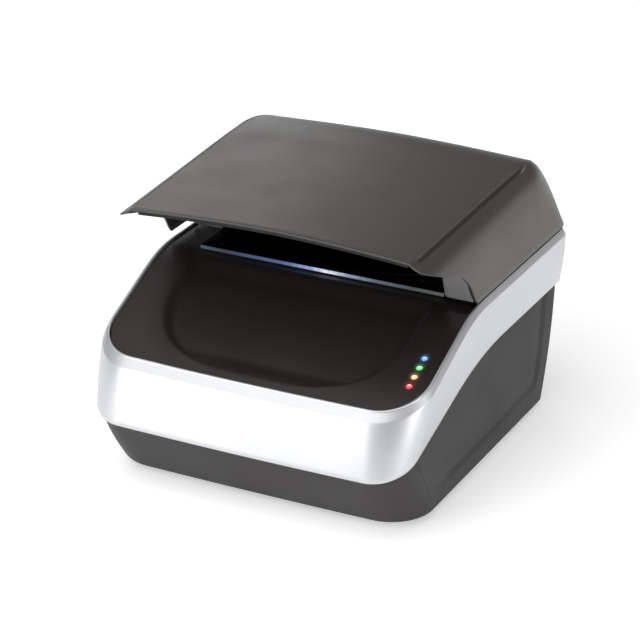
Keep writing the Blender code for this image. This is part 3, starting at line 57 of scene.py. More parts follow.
Shares = tuple[float, ...]
Socket = bpy.types.NodeSocket
Node = bpy.types.Node
Piece = bpy.types.Object
Material = bpy.types.Material
LIGHT_X = 0.0763
LIGHT_FIRST_Y = -0.0527
LIGHT_PITCH = 0.0057
LIGHT_RADIUS = 0.0015
NOISE_LOW, NOISE_HIGH = 0.3, 0.7
SHARP = 40.0
WHITE: Colour = (1.0, 1.0, 1.0)

# Height, fall per metre and knee of the band's upper and lower edges
TOP_LINE = (0.0957, 0.421, (-0.0208, 0.0140))
FOOT_LINE = (0.0652, 0.336, (-0.0080, 0.0280))


class Side(Enum):
    """The two sides of the body, with their sign along X."""

    LEFT = -1
    RIGHT = 1

    @property
    def word(self) -> str:
        """The side's word in node names."""
        return self.name.lower()

    def pick(self, pair: Pair) -> float:
        """This side's value of a left and right pair."""
        return pair[self is Side.RIGHT]


class StatusLight(Enum):
    """The four status lights, from the rear to the front, with their tints."""

    BLUE = (0, (0.09, 0.26, 0.80))
    GREEN = (1, (0.11, 0.60, 0.16))
    AMBER = (2, (0.86, 0.42, 0.17))
    RED = (3, (0.86, 0.05, 0.04))

    @property
    def word(self) -> str:
        """The light's word in node names."""
        return self.name.lower()

    @property
    def colour(self) -> Colour:
        """The light's tint."""
        return self.value[1]

    @property
    def centre(self) -> Pair:
        """The light's place on the deck."""
        return LIGHT_X, LIGHT_FIRST_Y - self.value[0] * LIGHT_PITCH


# Node trees


class Nodes:
    """A node tree with short calls to grow it."""

    def __init__(self, tree: bpy.types.NodeTree) -> None:
        """Empties the tree and keeps it."""
        self.tree = tree
        tree.nodes.clear()

    def feed(self, node: Node, *values: object, **sockets: object) -> Node:
        """Links or sets a node's inputs.

        Args:
            node: The node.
            *values: What its enabled inputs take in order.
            **sockets: What its named inputs take, with an underscore for each space.

        Returns:
            The same node.
        """
        pairs = list(zip([item for item in node.inputs if item.enabled], values))
        pairs += [(node.inputs[key.replace("_", " ")], value) for key, value in sockets.items()]
        for socket, value in pairs:
            if isinstance(value, Socket):
                self.tree.links.new(value, socket)
            elif value is not None:
                socket.default_value = (*value, 1.0) if socket.type == "RGBA" else value
        return node

    def add(self, kind: str, *values: object, **named: object) -> Node:
        """Adds a node.

        Args:
            kind: Its type name.
            *values: What its inputs take in order.
            **named: Its properties and, where they start with a capital, its inputs.

        Returns:
            The new node.
        """
        node = self.tree.nodes.new(kind)
        for key in [key for key in named if key[0].islower()]:
            setattr(node, key, named.pop(key))
        return self.feed(node, *values, **named)


class Graph(Nodes):
    """A material's nodes round one principled shader."""

    def __init__(self, name: str) -> None:
        """Starts a material.

        Args:
            name: Its name.
        """
        self.material = bpy.data.materials.new(name)
        self.material.use_nodes = True
        super().__init__(self.material.node_tree)
        self.shader = self.add("ShaderNodeBsdfPrincipled")
        self.add("ShaderNodeOutputMaterial", Surface=self.shader.outputs["BSDF"])
        self.place = self.add("ShaderNodeTexCoord").outputs["Object"]

    def noise(self, scale: float, detail: float = 3.0, stretch: Point = WHITE) -> Socket:
        """A noise over the object's own coordinates.

        Args:
            scale: Features per metre.
            detail: Octaves.
            stretch: Scale along each axis, for streaks.

        Returns:
            The noise's factor.
        """
        spot = self.place
        if stretch != WHITE:
            spot = self.add("ShaderNodeMapping", Vector=spot, Scale=stretch).outputs["Vector"]
        return self.add("ShaderNodeTexNoise", Vector=spot, Scale=scale, Detail=detail).outputs["Fac"]

    def remap(self, value: Socket, low: float, high: float) -> Socket:
        """Maps the middle of a noise's range to low and high."""
        ends = {"From_Min": NOISE_LOW, "From_Max": NOISE_HIGH, "To_Min": low, "To_Max": high}
        return self.add("ShaderNodeMapRange", Value=value, **ends).outputs["Result"]

    def blend(self, share: object, first: object, second: object) -> Socket:
        """The colour at a share of the way between two others."""
        return self.add("ShaderNodeMix", share, first, second, data_type="RGBA").outputs[2]

    def shade(self, noise: Socket, colour: Colour, low: float, high: float) -> Socket:
        """A colour whose brightness a noise varies between two factors."""
        return self.blend(self.remap(noise, 0.0, 1.0), scaled(colour, low), scaled(colour, high))

    def spot(self, centre: Pair, radius: float, peak: float) -> Socket:
        """A value that fades from its peak at a place, seen from above, to nothing at a radius.

        Args:
            centre: The place.
            radius: Where it ends.
            peak: The value in the middle.

        Returns:
            The value.
        """
        flat = self.add("ShaderNodeVectorMath", self.place, (1.0, 1.0, 0.0), operation="MULTIPLY").outputs[0]
        away = self.add("ShaderNodeVectorMath", flat, (*centre, 0.0), operation="DISTANCE").outputs["Value"]
        ends = {"From_Min": 0.0, "From_Max": radius, "To_Min": peak, "To_Max": 0.0}
        return self.add("ShaderNodeMapRange", interpolation_type="SMOOTHSTEP", Value=away, **ends).outputs["Result"]

    def bump(self, height: Socket, distance: float, strength: float) -> None:
        """Adds a layer of bump to the shader's normal.

        Args:
            height: The relief.
            distance: Its depth in metres.
            strength: Share of it that shows.
        """
        normal = self.shader.inputs["Normal"]
        before = normal.links[0].from_socket if normal.is_linked else None
        node = self.add("ShaderNodeBump", Height=height, Distance=distance, Strength=strength, Normal=before)
        self.tree.links.new(node.outputs["Normal"], normal)


def scaled(colour: Colour, factor: float) -> Colour:
    """A colour made lighter or darker by a factor."""
    return tuple(min(channel * factor, 1.0) for channel in colour)


# Finishes


@dataclass(frozen=True)
class Moulded:
    """Moulded plastic: spark-eroded grain, faint flow marks and handling shine."""

    name: str
    colour: Colour
    rough: float
    grain: float = 1400.0
    grain_depth: float = 0.00002
    ior: float = 1.49
    sheen_spread: float = 0.04
    tone_spread: float = 0.05
    speck: float = 1.5
    grain_detail: float = 2.0
    flow_marks: Pair = (14.0, 4.0)
    handling: Pair = (38.0, 5.0)
    relief: Pair = (0.5, 0.2)

    def make(self) -> Material:
        """Builds the material.

        Returns:
            The material.
        """
        graph = Graph(self.name)
        broad, fine = graph.noise(*self.flow_marks), graph.noise(self.grain, self.grain_detail)
        worn = graph.noise(*self.handling)
        tone = graph.shade(broad, self.colour, 1 - self.tone_spread, 1 + self.tone_spread)
        specks = graph.blend(graph.remap(fine, 0.0, self.tone_spread), tone, scaled(self.colour, self.speck))
        rough = graph.remap(worn, self.rough - self.sheen_spread, self.rough + self.sheen_spread)
        graph.feed(graph.shader, Base_Color=specks, Roughness=rough, IOR=self.ior)
        for height, strength in zip((fine, broad), self.relief):
            graph.bump(height, self.grain_depth, strength)
        return graph.material


@dataclass(frozen=True)
class Lacquer:
    """Silver lacquer: fine flake under a clear coat with a trace of orange peel."""

    name: str
    colour: Colour
    rough: float = 0.43
    metal: float = 0.70
    coat: float = 0.35
    coat_rough: float = 0.12
    flake: Pair = (5200.0, 1.0)
    flake_tones: Pair = (0.95, 1.03)
    metal_spread: float = 0.1
    wear: Pair = (30.0, 4.0)
    wear_spread: Pair = (-0.03, 0.05)
    peel: Pair = (420.0, 2.0)
    peel_relief: Pair = (0.00001, 0.15)

    def make(self) -> Material:
        """Builds the material.

        Returns:
            The material.
        """
        graph = Graph(self.name)
        flake = graph.noise(*self.flake)
        smooth, worn = self.wear_spread
        graph.feed(
            graph.shader,
            Base_Color=graph.shade(flake, self.colour, *self.flake_tones),
            Roughness=graph.remap(graph.noise(*self.wear), self.rough + smooth, self.rough + worn),
            Metallic=graph.remap(flake, self.metal - self.metal_spread, self.metal + self.metal_spread),
            Coat_Weight=self.coat,
            Coat_Roughness=self.coat_rough,
        )
        graph.bump(graph.noise(*self.peel), *self.peel_relief)
        return graph.material


@dataclass(frozen=True)
class SmokedDeck:
    """Satin smoked plastic with faint smudges, and a painted glow in each status light's tint round its hole."""

    name: str
    colour: Colour
    rough: float = 0.27
    halo: float = 0.0052
    halo_power: float = 3.0
    spill: float = 0.9
    glow: float = 0.5
    ior: float = 1.5
    smudge: Pair = (20.0, 4.0)
    smudge_tones: Pair = (1.0, 1.12)
    smudge_rough: float = 0.06
    grain: Pair = (1500.0, 2.0)
    grain_relief: Pair = (0.000006, 0.15)

    def make(self) -> Material:
        """Builds the material.

        Returns:
            The material.
        """
        graph = Graph(self.name)
        smudge = graph.noise(*self.smudge)
        painted_halos: object = (0.0, 0.0, 0.0)
        # Painted light: the deck itself glows in each status light's tint, fading out from its hole.
        for light in StatusLight:
            near = graph.spot(light.centre, self.halo, 1.0)
            share = graph.add("ShaderNodeMath", near, self.halo_power, operation="POWER").outputs[0]
            painted_halos = graph.blend(share, painted_halos, scaled(light.colour, self.spill))
        graph.feed(
            graph.shader,
            Base_Color=graph.shade(smudge, self.colour, *self.smudge_tones),
            Roughness=graph.remap(smudge, self.rough, self.rough + self.smudge_rough),
            IOR=self.ior,
            Emission_Color=painted_halos,
            Emission_Strength=self.glow,
        )
        graph.bump(graph.noise(*self.grain), *self.grain_relief)
        return graph.material


@dataclass(frozen=True)
class Metal:
    """Plated or turned metal with fine streaks."""

    name: str
    colour: Colour
    rough: float = 0.3
    streaks: Point = (40.0, 900.0, 900.0)
    streak: Pair = (3.0, 4.0)
    tones: Pair = (0.85, 1.08)
    rough_spread: Pair = (-0.06, 0.1)
    relief: Pair = (0.00001, 0.2)

    def make(self) -> Material:
        """Builds the material.

        Returns:
            The material.
        """
        graph = Graph(self.name)
        streak = graph.noise(*self.streak, self.streaks)
        tone = graph.shade(streak, self.colour, *self.tones)
        rough = graph.remap(streak, *(self.rough + spread for spread in self.rough_spread))
        graph.feed(graph.shader, Base_Color=tone, Metallic=1.0, Roughness=rough)
        graph.bump(streak, *self.relief)
        return graph.material


@dataclass(frozen=True)
class CircuitBoard:
    """Solder mask over copper tracks, with bare pads."""

    name: str
    colour: Colour
    pad: Colour = (0.78, 0.62, 0.32)
    pad_size: float = 0.16
    pad_scale: float = 210.0
    track_scale: float = 260.0
    track_width: float = 0.03
    track_tone: float = 1.8
    rough: float = 0.34
    relief: Pair = (0.00003, 0.4)

    def make(self) -> Material:
        """Builds the material.

        Returns:
            The material.
        """
        graph = Graph(self.name)
        ends = {"Vector": graph.place, "Scale": self.track_scale, "Mortar_Size": self.track_width}
        tracks = graph.add("ShaderNodeTexBrick", **ends).outputs["Fac"]
        cells = graph.add("ShaderNodeTexVoronoi", Vector=graph.place, Scale=self.pad_scale).outputs["Distance"]
        pads = graph.add("ShaderNodeMath", cells, self.pad_size, operation="LESS_THAN").outputs[0]
        mask = graph.blend(tracks, self.colour, scaled(self.colour, self.track_tone))
        colour = graph.blend(pads, mask, self.pad)
        graph.feed(graph.shader, Base_Color=colour, Metallic=pads, Roughness=self.rough)
        graph.bump(tracks, *self.relief)
        return graph.material


@dataclass(frozen=True)
class Glass:
    """Hard-coated clear glass with the trace of a wipe."""

    name: str
    tint: Colour
    rough: float = 0.02
    ior: float = 1.06
    wipe: Pair = (6.0, 5.0)
    wipe_stretch: Point = (1.0, 6.0, 1.0)
    wipe_tones: Pair = (1.0, 0.94)
    wipe_rough: float = 0.03

    def make(self) -> Material:
        """Builds the material.

        Returns:
            The material.
        """
        graph = Graph(self.name)
        wipe = graph.noise(*self.wipe, self.wipe_stretch)
        tone = graph.shade(wipe, self.tint, *self.wipe_tones)
        rough = graph.remap(wipe, self.rough, self.rough + self.wipe_rough)
        graph.feed(graph.shader, Base_Color=tone, Transmission_Weight=1.0, IOR=self.ior, Roughness=rough)
        return graph.material


@dataclass(frozen=True)
class GlassEdge:
    """The glass's ground front edge, with a painted bluish highlight that is brightest at one place along X and fades
    towards its ends.
    """

    name: str = "window_ground_edge"
    half: float = 0.0680
    body: Colour = (0.02, 0.02, 0.02)
    fleck: Colour = (0.02, 0.03, 0.04)
    fleck_noise: Pair = (500.0, 3.0)
    fleck_share: float = 0.45
    rough: Pair = (0.3, 0.45)
    # Painted highlight along the front edge: emission colour at each place along X, brightest near the middle.
    glow: tuple[tuple[float, Colour], ...] = (
        (-0.068, (0.045, 0.060, 0.085)),
        (-0.054, (0.012, 0.022, 0.055)),
        (-0.020, (0.060, 0.120, 0.290)),
        (-0.006, (0.260, 0.400, 0.700)),
        (0.004, (0.950, 1.000, 1.150)),
        (0.014, (0.300, 0.400, 0.580)),
        (0.030, (0.090, 0.115, 0.160)),
        (0.050, (0.050, 0.058, 0.058)),
        (0.068, (0.075, 0.082, 0.068)),
    )

    def make(self) -> Material:
        """Builds the material.

        Returns:
            The material.
        """
        graph = Graph(self.name)
        along = graph.add("ShaderNodeSeparateXYZ", Vector=graph.place).outputs["X"]
        ends = {"From_Min": -self.half, "From_Max": self.half, "To_Min": 0.0, "To_Max": 1.0}
        share = graph.add("ShaderNodeMapRange", Value=along, **ends).outputs["Result"]
        # Painted highlight: the edge's emission colour read off by its place along X.
        painted_highlight_stops = graph.add("ShaderNodeValToRGB", Fac=share)
        marks = painted_highlight_stops.color_ramp.elements
        while len(marks) < len(self.glow):
            marks.new(0.5)
        for mark, (x, colour) in zip(marks, self.glow):
            mark.position = (x + self.half) / (2 * self.half)
            mark.color = (*colour, 1.0)
        flecks = graph.noise(*self.fleck_noise)
        glow = graph.blend(graph.remap(flecks, 0.0, self.fleck_share), painted_highlight_stops.outputs["Color"], self.fleck)
        rough = graph.remap(flecks, *self.rough)
        graph.feed(graph.shader, Base_Color=self.body, Roughness=rough, Emission_Color=glow, Emission_Strength=1.0)
        return graph.material


@dataclass(frozen=True)
class TintedLens:
    """A lit indicator: tinted resin whose middle glows nearly white."""

    name: str
    colour: Colour
    centre: Pair
    glow: float = 1.2
    core: float = 0.9
    rough: float = 0.12
    grain: Pair = (900.0, 2.0)
    tones: Pair = (0.85, 1.0)

    def make(self) -> Material:
        """Builds the material.

        Returns:
            The material.
        """
        graph = Graph(self.name)
        tone = graph.shade(graph.noise(*self.grain), self.colour, *self.tones)
        lit = graph.blend(graph.spot(self.centre, LIGHT_RADIUS, self.core), tone, WHITE)
        graph.feed(
            graph.shader, Base_Color=tone, Roughness=self.rough, Emission_Color=lit, Emission_Strength=self.glow
        )
        return graph.material


class Finishes:
    """Every finish of the object, by the record's material slot."""

    def __init__(self) -> None:
        """Makes the materials once, for all pieces."""
        makers = {
            "base_plastic": Moulded("base_plastic_grain", (0.0270, 0.0243, 0.0236), 0.56, ior=1.41),
            "hood_plastic": Moulded("hood_plastic_grain", (0.054, 0.050, 0.046), 0.38),
            "silver_paint": Lacquer("silver_lacquer", (0.60, 0.606, 0.622)),
            "deck_black": SmokedDeck("deck_smoked", (0.0190, 0.0160, 0.0148)),
            "satin_black": Moulded("satin_black_grain", (0.022, 0.021, 0.021), 0.36),
            "clear_glass": Glass("window_clear", (0.16, 0.165, 0.17)),
            "steel": Metal("plated_steel", (0.56, 0.57, 0.58)),
            "rubber": Moulded("foot_rubber", (0.018, 0.018, 0.018), 0.82, 900.0, 0.00004),
            "board_green": CircuitBoard("solder_mask", (0.012, 0.115, 0.05)),
            "diffuser_white": Moulded("frosted_sheet", (0.80, 0.81, 0.81), 0.45, 2200.0),
            "ribbon": Moulded("amber_film", (0.55, 0.26, 0.05), 0.3, 500.0),
            "glass_edge": GlassEdge(),
            "contact": Metal("gold_contact", (0.85, 0.62, 0.28), 0.25),
            "cheek": Moulded("cheek_satin", (0.200, 0.194, 0.197), 0.34, 1800.0, 0.00001),
            # Near-black matt for the insides: their own black plastic, darkened further as painted shade.
            "liner": Moulded("liner_matt", (0.006, 0.006, 0.006), 0.75, 1200.0, 0.00003),
        }
        for light in StatusLight:
            makers[f"light_{light.word}"] = TintedLens(f"lens_{light.word}", light.colour, light.centre)
        self.by_slot = {slot: maker.make() for slot, maker in makers.items()}

    def __getitem__(self, slot: str) -> Material:
        """The material of a slot."""
        return self.by_slot[slot]

    def dress_nodes(self) -> None:
        """Gives every CAD node the finish of its record slot, and the hood liner and optics box a near-black matt one,
        darker than their slot, as painted shade inside them.
        """
        for row in frame["record"]["subparts"]:
            node = frame["nodes"].get(row["node"])
            if node is not None:
                inside = row["node"] in ("hood_liner", "optics_box")
                node.data.materials.clear()
                node.data.materials.append(self["liner" if inside else row["material_slot"]])


# Curves and meshes


def mix(start: float, end: float, share: float) -> float:
    """The value at a share of the way between two others."""
    return start + (end - start) * share


def ease(low: float, high: float, value: float) -> float:
    """Cosine ease from 0 at low to 1 at high."""
    share = min(max((value - low) / (high - low), 0.0), 1.0)
    return (1 - math.cos(math.pi * share)) / 2


def flow(places: Sequence[float], values: Sequence[float], place: float) -> float:
    """Smooth reading of a table that never overshoots it.

    Args:
        places: Rising places.
        values: The value at each.
        place: Where to read.

    Returns:
        The value there.
    """
    place = min(max(place, places[0]), places[-1])
    slopes = [(b - a) / (q - p) for p, q, a, b in zip(places, places[1:], values, values[1:])]
    tangents = [slopes[0]]
    for before, after in zip(slopes, slopes[1:]):
        tangents.append(0.0 if before * after <= 0 else 2 * before * after / (before + after))
    tangents.append(slopes[-1])
    index = max(i for i in range(len(places) - 1) if i == 0 or places[i] <= place)
    width = places[index + 1] - places[index]
    t = (place - places[index]) / width
    return (
        (2 * t**3 - 3 * t**2 + 1) * values[index]
        + (t**3 - 2 * t**2 + t) * width * tangents[index]
        + (3 * t**2 - 2 * t**3) * values[index + 1]
        + (t**3 - t**2) * width * tangents[index + 1]
    )


def ramp(y: float, high: float, slope: float, knee: Pair) -> float:
    """A level height that bends over a knee into a straight fall towards the front.

    Args:
        y: Place along the body.
        high: The level height.
        slope: Fall for each metre in front of the knee.
        knee: The knee's middle and half its length.

    Returns:
        The height at y.
    """
    middle, reach = knee
    if y >= middle + reach:
        return high
    if y <= middle - reach:
        return high - slope * (middle - y)
    return high - slope * (middle + reach - y) ** 2 / (4 * reach)


def band_top(y: float) -> float:
    """Height of the band's upper edge at a place along the body."""
    return ramp(y, *TOP_LINE)


def band_foot(y: float) -> float:
    """Height of the band's lower edge at a place along the body."""
    return ramp(y, *FOOT_LINE)


def steps(count: int) -> list[float]:
    """Even shares from 0 to 1, both ends included."""
    return [step / count for step in range(count + 1)]


def inset(station: Station, amount: float, z: float) -> Vector:
    """A point behind a station of an outline."""
    return Vector((station[0] - station[2] * amount, station[1] - station[3] * amount, z))


def finish_mesh(piece: Piece, sharp: float = SHARP) -> Piece:
    """Turns a piece's faces outwards and shades it smooth but for its sharp edges.

    Args:
        piece: The piece.
        sharp: Angle in degrees from which an edge stays sharp.

    Returns:
        The same piece.
    """
    shape = bmesh.new()
    shape.from_mesh(piece.data)
    bmesh.ops.recalc_face_normals(shape, faces=shape.faces)
    shape.to_mesh(piece.data)
    shape.free()
    piece.data.shade_smooth()
    piece.data.set_sharp_from_angle(angle=math.radians(sharp))
    return piece


def new_piece(
    name: str, points: Sequence[Point], faces: Sequence[Sequence[int]], finish: Material, sharp: float = SHARP
) -> Piece:
    """A mesh object from points and faces.

    Args:
        name: The object's name.
        points: Its points.
        faces: Its faces, as point numbers.
        finish: Its material.
        sharp: Angle in degrees from which an edge stays sharp.

    Returns:
        The new object.
    """
    mesh = bpy.data.meshes.new(name)
    mesh.from_pydata([tuple(point) for point in points], [], faces)
    mesh.materials.append(finish)
    piece = bpy.data.objects.new(name, mesh)
    bpy.context.scene.collection.objects.link(piece)
    return finish_mesh(piece, sharp)


def grid_faces(rows: int, columns: int, ring: bool = False, first: int = 0) -> list[tuple[int, ...]]:
    """Quads over a grid of points.

    Args:
        rows: Rows of points.
        columns: Points in each row.
        ring: Whether each row closes on itself.
        first: Number of the first point.

    Returns:
        The quads.
    """
    faces = []
    for low in range(first, first + (rows - 1) * columns, columns):
        for column in range(columns if ring else columns - 1):
            after, high = (column + 1) % columns, low + columns
            faces.append((low + column, low + after, high + after, high + column))
    return faces


def lathe(name: str, profile: Sequence[Pair], centre: Point, finish: Material, sides: int = 48) -> Piece:
    """A solid of revolution about an upright axis.

    Args:
        name: The object's name.
        profile: (radius, height) from its lower middle out and up to its upper middle, without the middles.
        centre: The axis and the height that the profile starts from.
        finish: Its material.
        sides: Points round it.

    Returns:
        The new object.
    """
    x, y, z = centre
    turns = [2 * math.pi * side / sides for side in range(sides)]
    points = [(x + r * math.cos(turn), y + r * math.sin(turn), z + height) for r, height in profile for turn in turns]
    last = len(points) - sides
    faces = [*grid_faces(len(profile), sides, ring=True), tuple(range(sides)), tuple(range(last, last + sides))]
    return new_piece(name, points, faces, finish)


def block(name: str, low: Point, high: Point, finish: Material, bevel: float = 0.0) -> Piece:
    """A box with softened edges.

    Args:
        name: The object's name.
        low: Its lowest corner.
        high: Its highest corner.
        finish: Its material.
        bevel: Width of the softening.

    Returns:
        The new object.
    """
    points = [(x, y, z) for z in (low[2], high[2]) for y in (low[1], high[1]) for x in (low[0], high[0])]
    faces = [(0, 1, 3, 2), (4, 5, 7, 6), (0, 1, 5, 4), (2, 3, 7, 6), (0, 2, 6, 4), (1, 3, 7, 5)]
    piece = new_piece(name, points, faces, finish)
    if bevel:
        soften(piece, bevel)
        bake(piece)
    return piece


def soften(piece: Piece, width: float, angle: float = SHARP, segments: int = 3) -> None:
    """Rounds a piece's sharp edges.

    Args:
        piece: The piece.
        width: Width of the rounding.
        angle: Angle in degrees from which an edge is rounded.
        segments: Steps of the rounding.
    """
    bevel = piece.modifiers.new("soften", "BEVEL")
    bevel.width, bevel.segments = width, segments
    bevel.limit_method, bevel.angle_limit = "ANGLE", math.radians(angle)


def thicken(piece: Piece, wall: float, even: bool = False) -> None:
    """Gives a sheet its wall, behind its outer face."""
    solid = piece.modifiers.new("wall", "SOLIDIFY")
    solid.thickness, solid.offset, solid.use_even_offset = wall, -1.0, even


def bake(piece: Piece, sharp: float = SHARP) -> Piece:
    """Turns a piece's modifiers into plain mesh.

    Args:
        piece: The piece.
        sharp: Angle in degrees from which an edge stays sharp.

    Returns:
        The same piece.
    """
    graph = bpy.context.evaluated_depsgraph_get()
    mesh = bpy.data.meshes.new_from_object(piece.evaluated_get(graph), depsgraph=graph)
    piece.modifiers.clear()
    piece.data = mesh
    mesh.name = piece.name
    return finish_mesh(piece, sharp)


def cut_away(piece: Piece, cutters: Sequence[Piece], sharp: float = SHARP) -> None:
    """Cuts other shapes out of a piece and removes them.

    Args:
        piece: The piece.
        cutters: The shapes.
        sharp: Angle in degrees from which an edge stays sharp.
    """
    for cutter in cutters:
        step = piece.modifiers.new(cutter.name, "BOOLEAN")
        step.operation, step.solver, step.object = "DIFFERENCE", "EXACT", cutter
    bake(piece, sharp)
    for cutter in cutters:
        bpy.data.objects.remove(cutter, do_unlink=True)


def place(piece: Piece, body: str, slot: str, *nodes: str) -> None:
    """Settles what a piece moves with and hides the nodes that it stands for.

    Args:
        piece: The piece.
        body: The CAD body that carries it.
        slot: The record's material slot; not used.
        *nodes: CAD nodes that it replaces.
    """
    if nodes:
        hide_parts(*nodes)
    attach(piece, body)
    LOG.info("%s rides on %s", piece.name, body)


class Tree(Nodes):
    """A geometry node tree with named sizes."""

    def __init__(self, name: str) -> None:
        """Starts a tree.

        Args:
            name: Its name.
        """
        super().__init__(bpy.data.node_groups.new(name, "GeometryNodeTree"))
        for way in ("INPUT", "OUTPUT"):
            self.tree.interface.new_socket("Geometry", in_out=way, socket_type="NodeSocketGeometry")
        self.source = self.add("NodeGroupInput")
        self.values: dict[str, float | int] = {}

    def size(self, name: str, value: float | int) -> Socket:
        """Adds a named input.

        Args:
            name: Its name.
            value: What the piece sets it to.

        Returns:
            The socket that carries it inside the tree.
        """
        kind = "NodeSocketInt" if isinstance(value, int) else "NodeSocketFloat"
        self.tree.interface.new_socket(name, in_out="INPUT", socket_type=kind)
        self.values[name] = value
        return self.source.outputs[name]

    def math(self, operation: str, *values: object) -> Socket:
        """The result of a sum on numbers."""
        return self.add("ShaderNodeMath", *values, operation=operation).outputs[0]

    def vector(self, operation: str, *values: object) -> Socket:
        """The result of a sum on vectors."""
        return self.add("ShaderNodeVectorMath", *values, operation=operation).outputs[0]

    def scale(self, direction: object, amount: object) -> Socket:
        """A direction times a number."""
        return self.add("ShaderNodeVectorMath", direction, operation="SCALE", Scale=amount).outputs[0]

    def shift(self, spot: Socket, direction: object, amount: object) -> Socket:
        """A place moved along a direction."""
        return self.vector("ADD", spot, self.scale(direction, amount))

    def between(self, start: Socket, end: Socket, share: float) -> Socket:
        """The place at a share of the way between two others."""
        return self.shift(start, self.vector("SUBTRACT", end, start), share)

    def copies(self, points: Node, piece: Node, **named: object) -> Socket:
        """Copies of a piece on points."""
        ends = {"Points": points.outputs[0], "Instance": piece.outputs[0]}
        return self.add("GeometryNodeInstanceOnPoints", **ends, **named).outputs[0]

    def build(self, name: str, result: Socket, finish: Material, base: bpy.types.Mesh | None = None) -> Piece:
        """Ends the tree and bakes what it makes.

        Args:
            name: The new piece's name.
            result: The geometry to end with.
            finish: Its material.
            base: Mesh that the tree starts from, if any.

        Returns:
            The baked piece.
        """
        real = self.add("GeometryNodeRealizeInstances", result).outputs[0]
        dressed = self.add("GeometryNodeSetMaterial", Geometry=real, Material=finish)
        self.add("NodeGroupOutput", dressed.outputs[0])
        piece = bpy.data.objects.new(name, base or bpy.data.meshes.new(f"{name}_base"))
        bpy.context.scene.collection.objects.link(piece)
        grower = piece.modifiers.new(name, "NODES")
        grower.node_group = self.tree
        for item in self.tree.interface.items_tree:
            if item.in_out == "INPUT" and item.name in self.values:
                grower[item.identifier] = self.values[item.name]
        bake(piece)
        piece.data.materials.clear()
        piece.data.materials.append(finish)
        return piece


# Pieces of the body


@dataclass(frozen=True)
class Plan:
    """A rounded outline round the body, bowed a little at the front."""

    half_width: float
    front: float
    rear: float
    front_radius: float
    rear_radius: float
    bow: float = 0.0006
    end_steps: int = 10
    corner_steps: int = 20
    side_steps: int = 40

    def half(self) -> list[Station]:
        """Follows one half of the outline.

        Returns:
            (x, y, outward x, outward y) from the front's middle round to the rear's middle.
        """
        turn = 2 * self.bow / (self.half_width - self.front_radius)
        corner_x = self.half_width - self.front_radius
        end_x = corner_x + self.front_radius * math.sin(turn)
        corner_y = self.front + self.bow + self.front_radius * math.cos(turn)
        rear_x, rear_y = self.half_width - self.rear_radius, self.rear - self.rear_radius
        stations = []
        for share in steps(self.end_steps)[:-1]:
            lean = math.atan(2 * self.bow * share / end_x)
            stations.append((end_x * share, self.front + self.bow * share**2, math.sin(lean), -math.cos(lean)))
        for share in steps(self.corner_steps):
            angle = mix(turn, math.pi / 2, share)
            out = (math.sin(angle), -math.cos(angle))
            stations.append((corner_x + self.front_radius * out[0], corner_y + self.front_radius * out[1], *out))
        for share in steps(self.side_steps)[1:-1]:
            stations.append((self.half_width, mix(corner_y, rear_y, share), 1.0, 0.0))
        for share in steps(self.corner_steps):
            out = (math.cos(math.pi / 2 * share), math.sin(math.pi / 2 * share))
            stations.append((rear_x + self.rear_radius * out[0], rear_y + self.rear_radius * out[1], *out))
        return stations + [(rear_x * (1 - share), self.rear, 0.0, 1.0) for share in steps(self.end_steps)[1:]]

    def stations(self) -> list[Station]:
        """(x, y, outward x, outward y) all the way round."""
        half = self.half()
        return half + [(-x, y, -out_x, out_y) for x, y, out_x, out_y in half[-2:0:-1]]


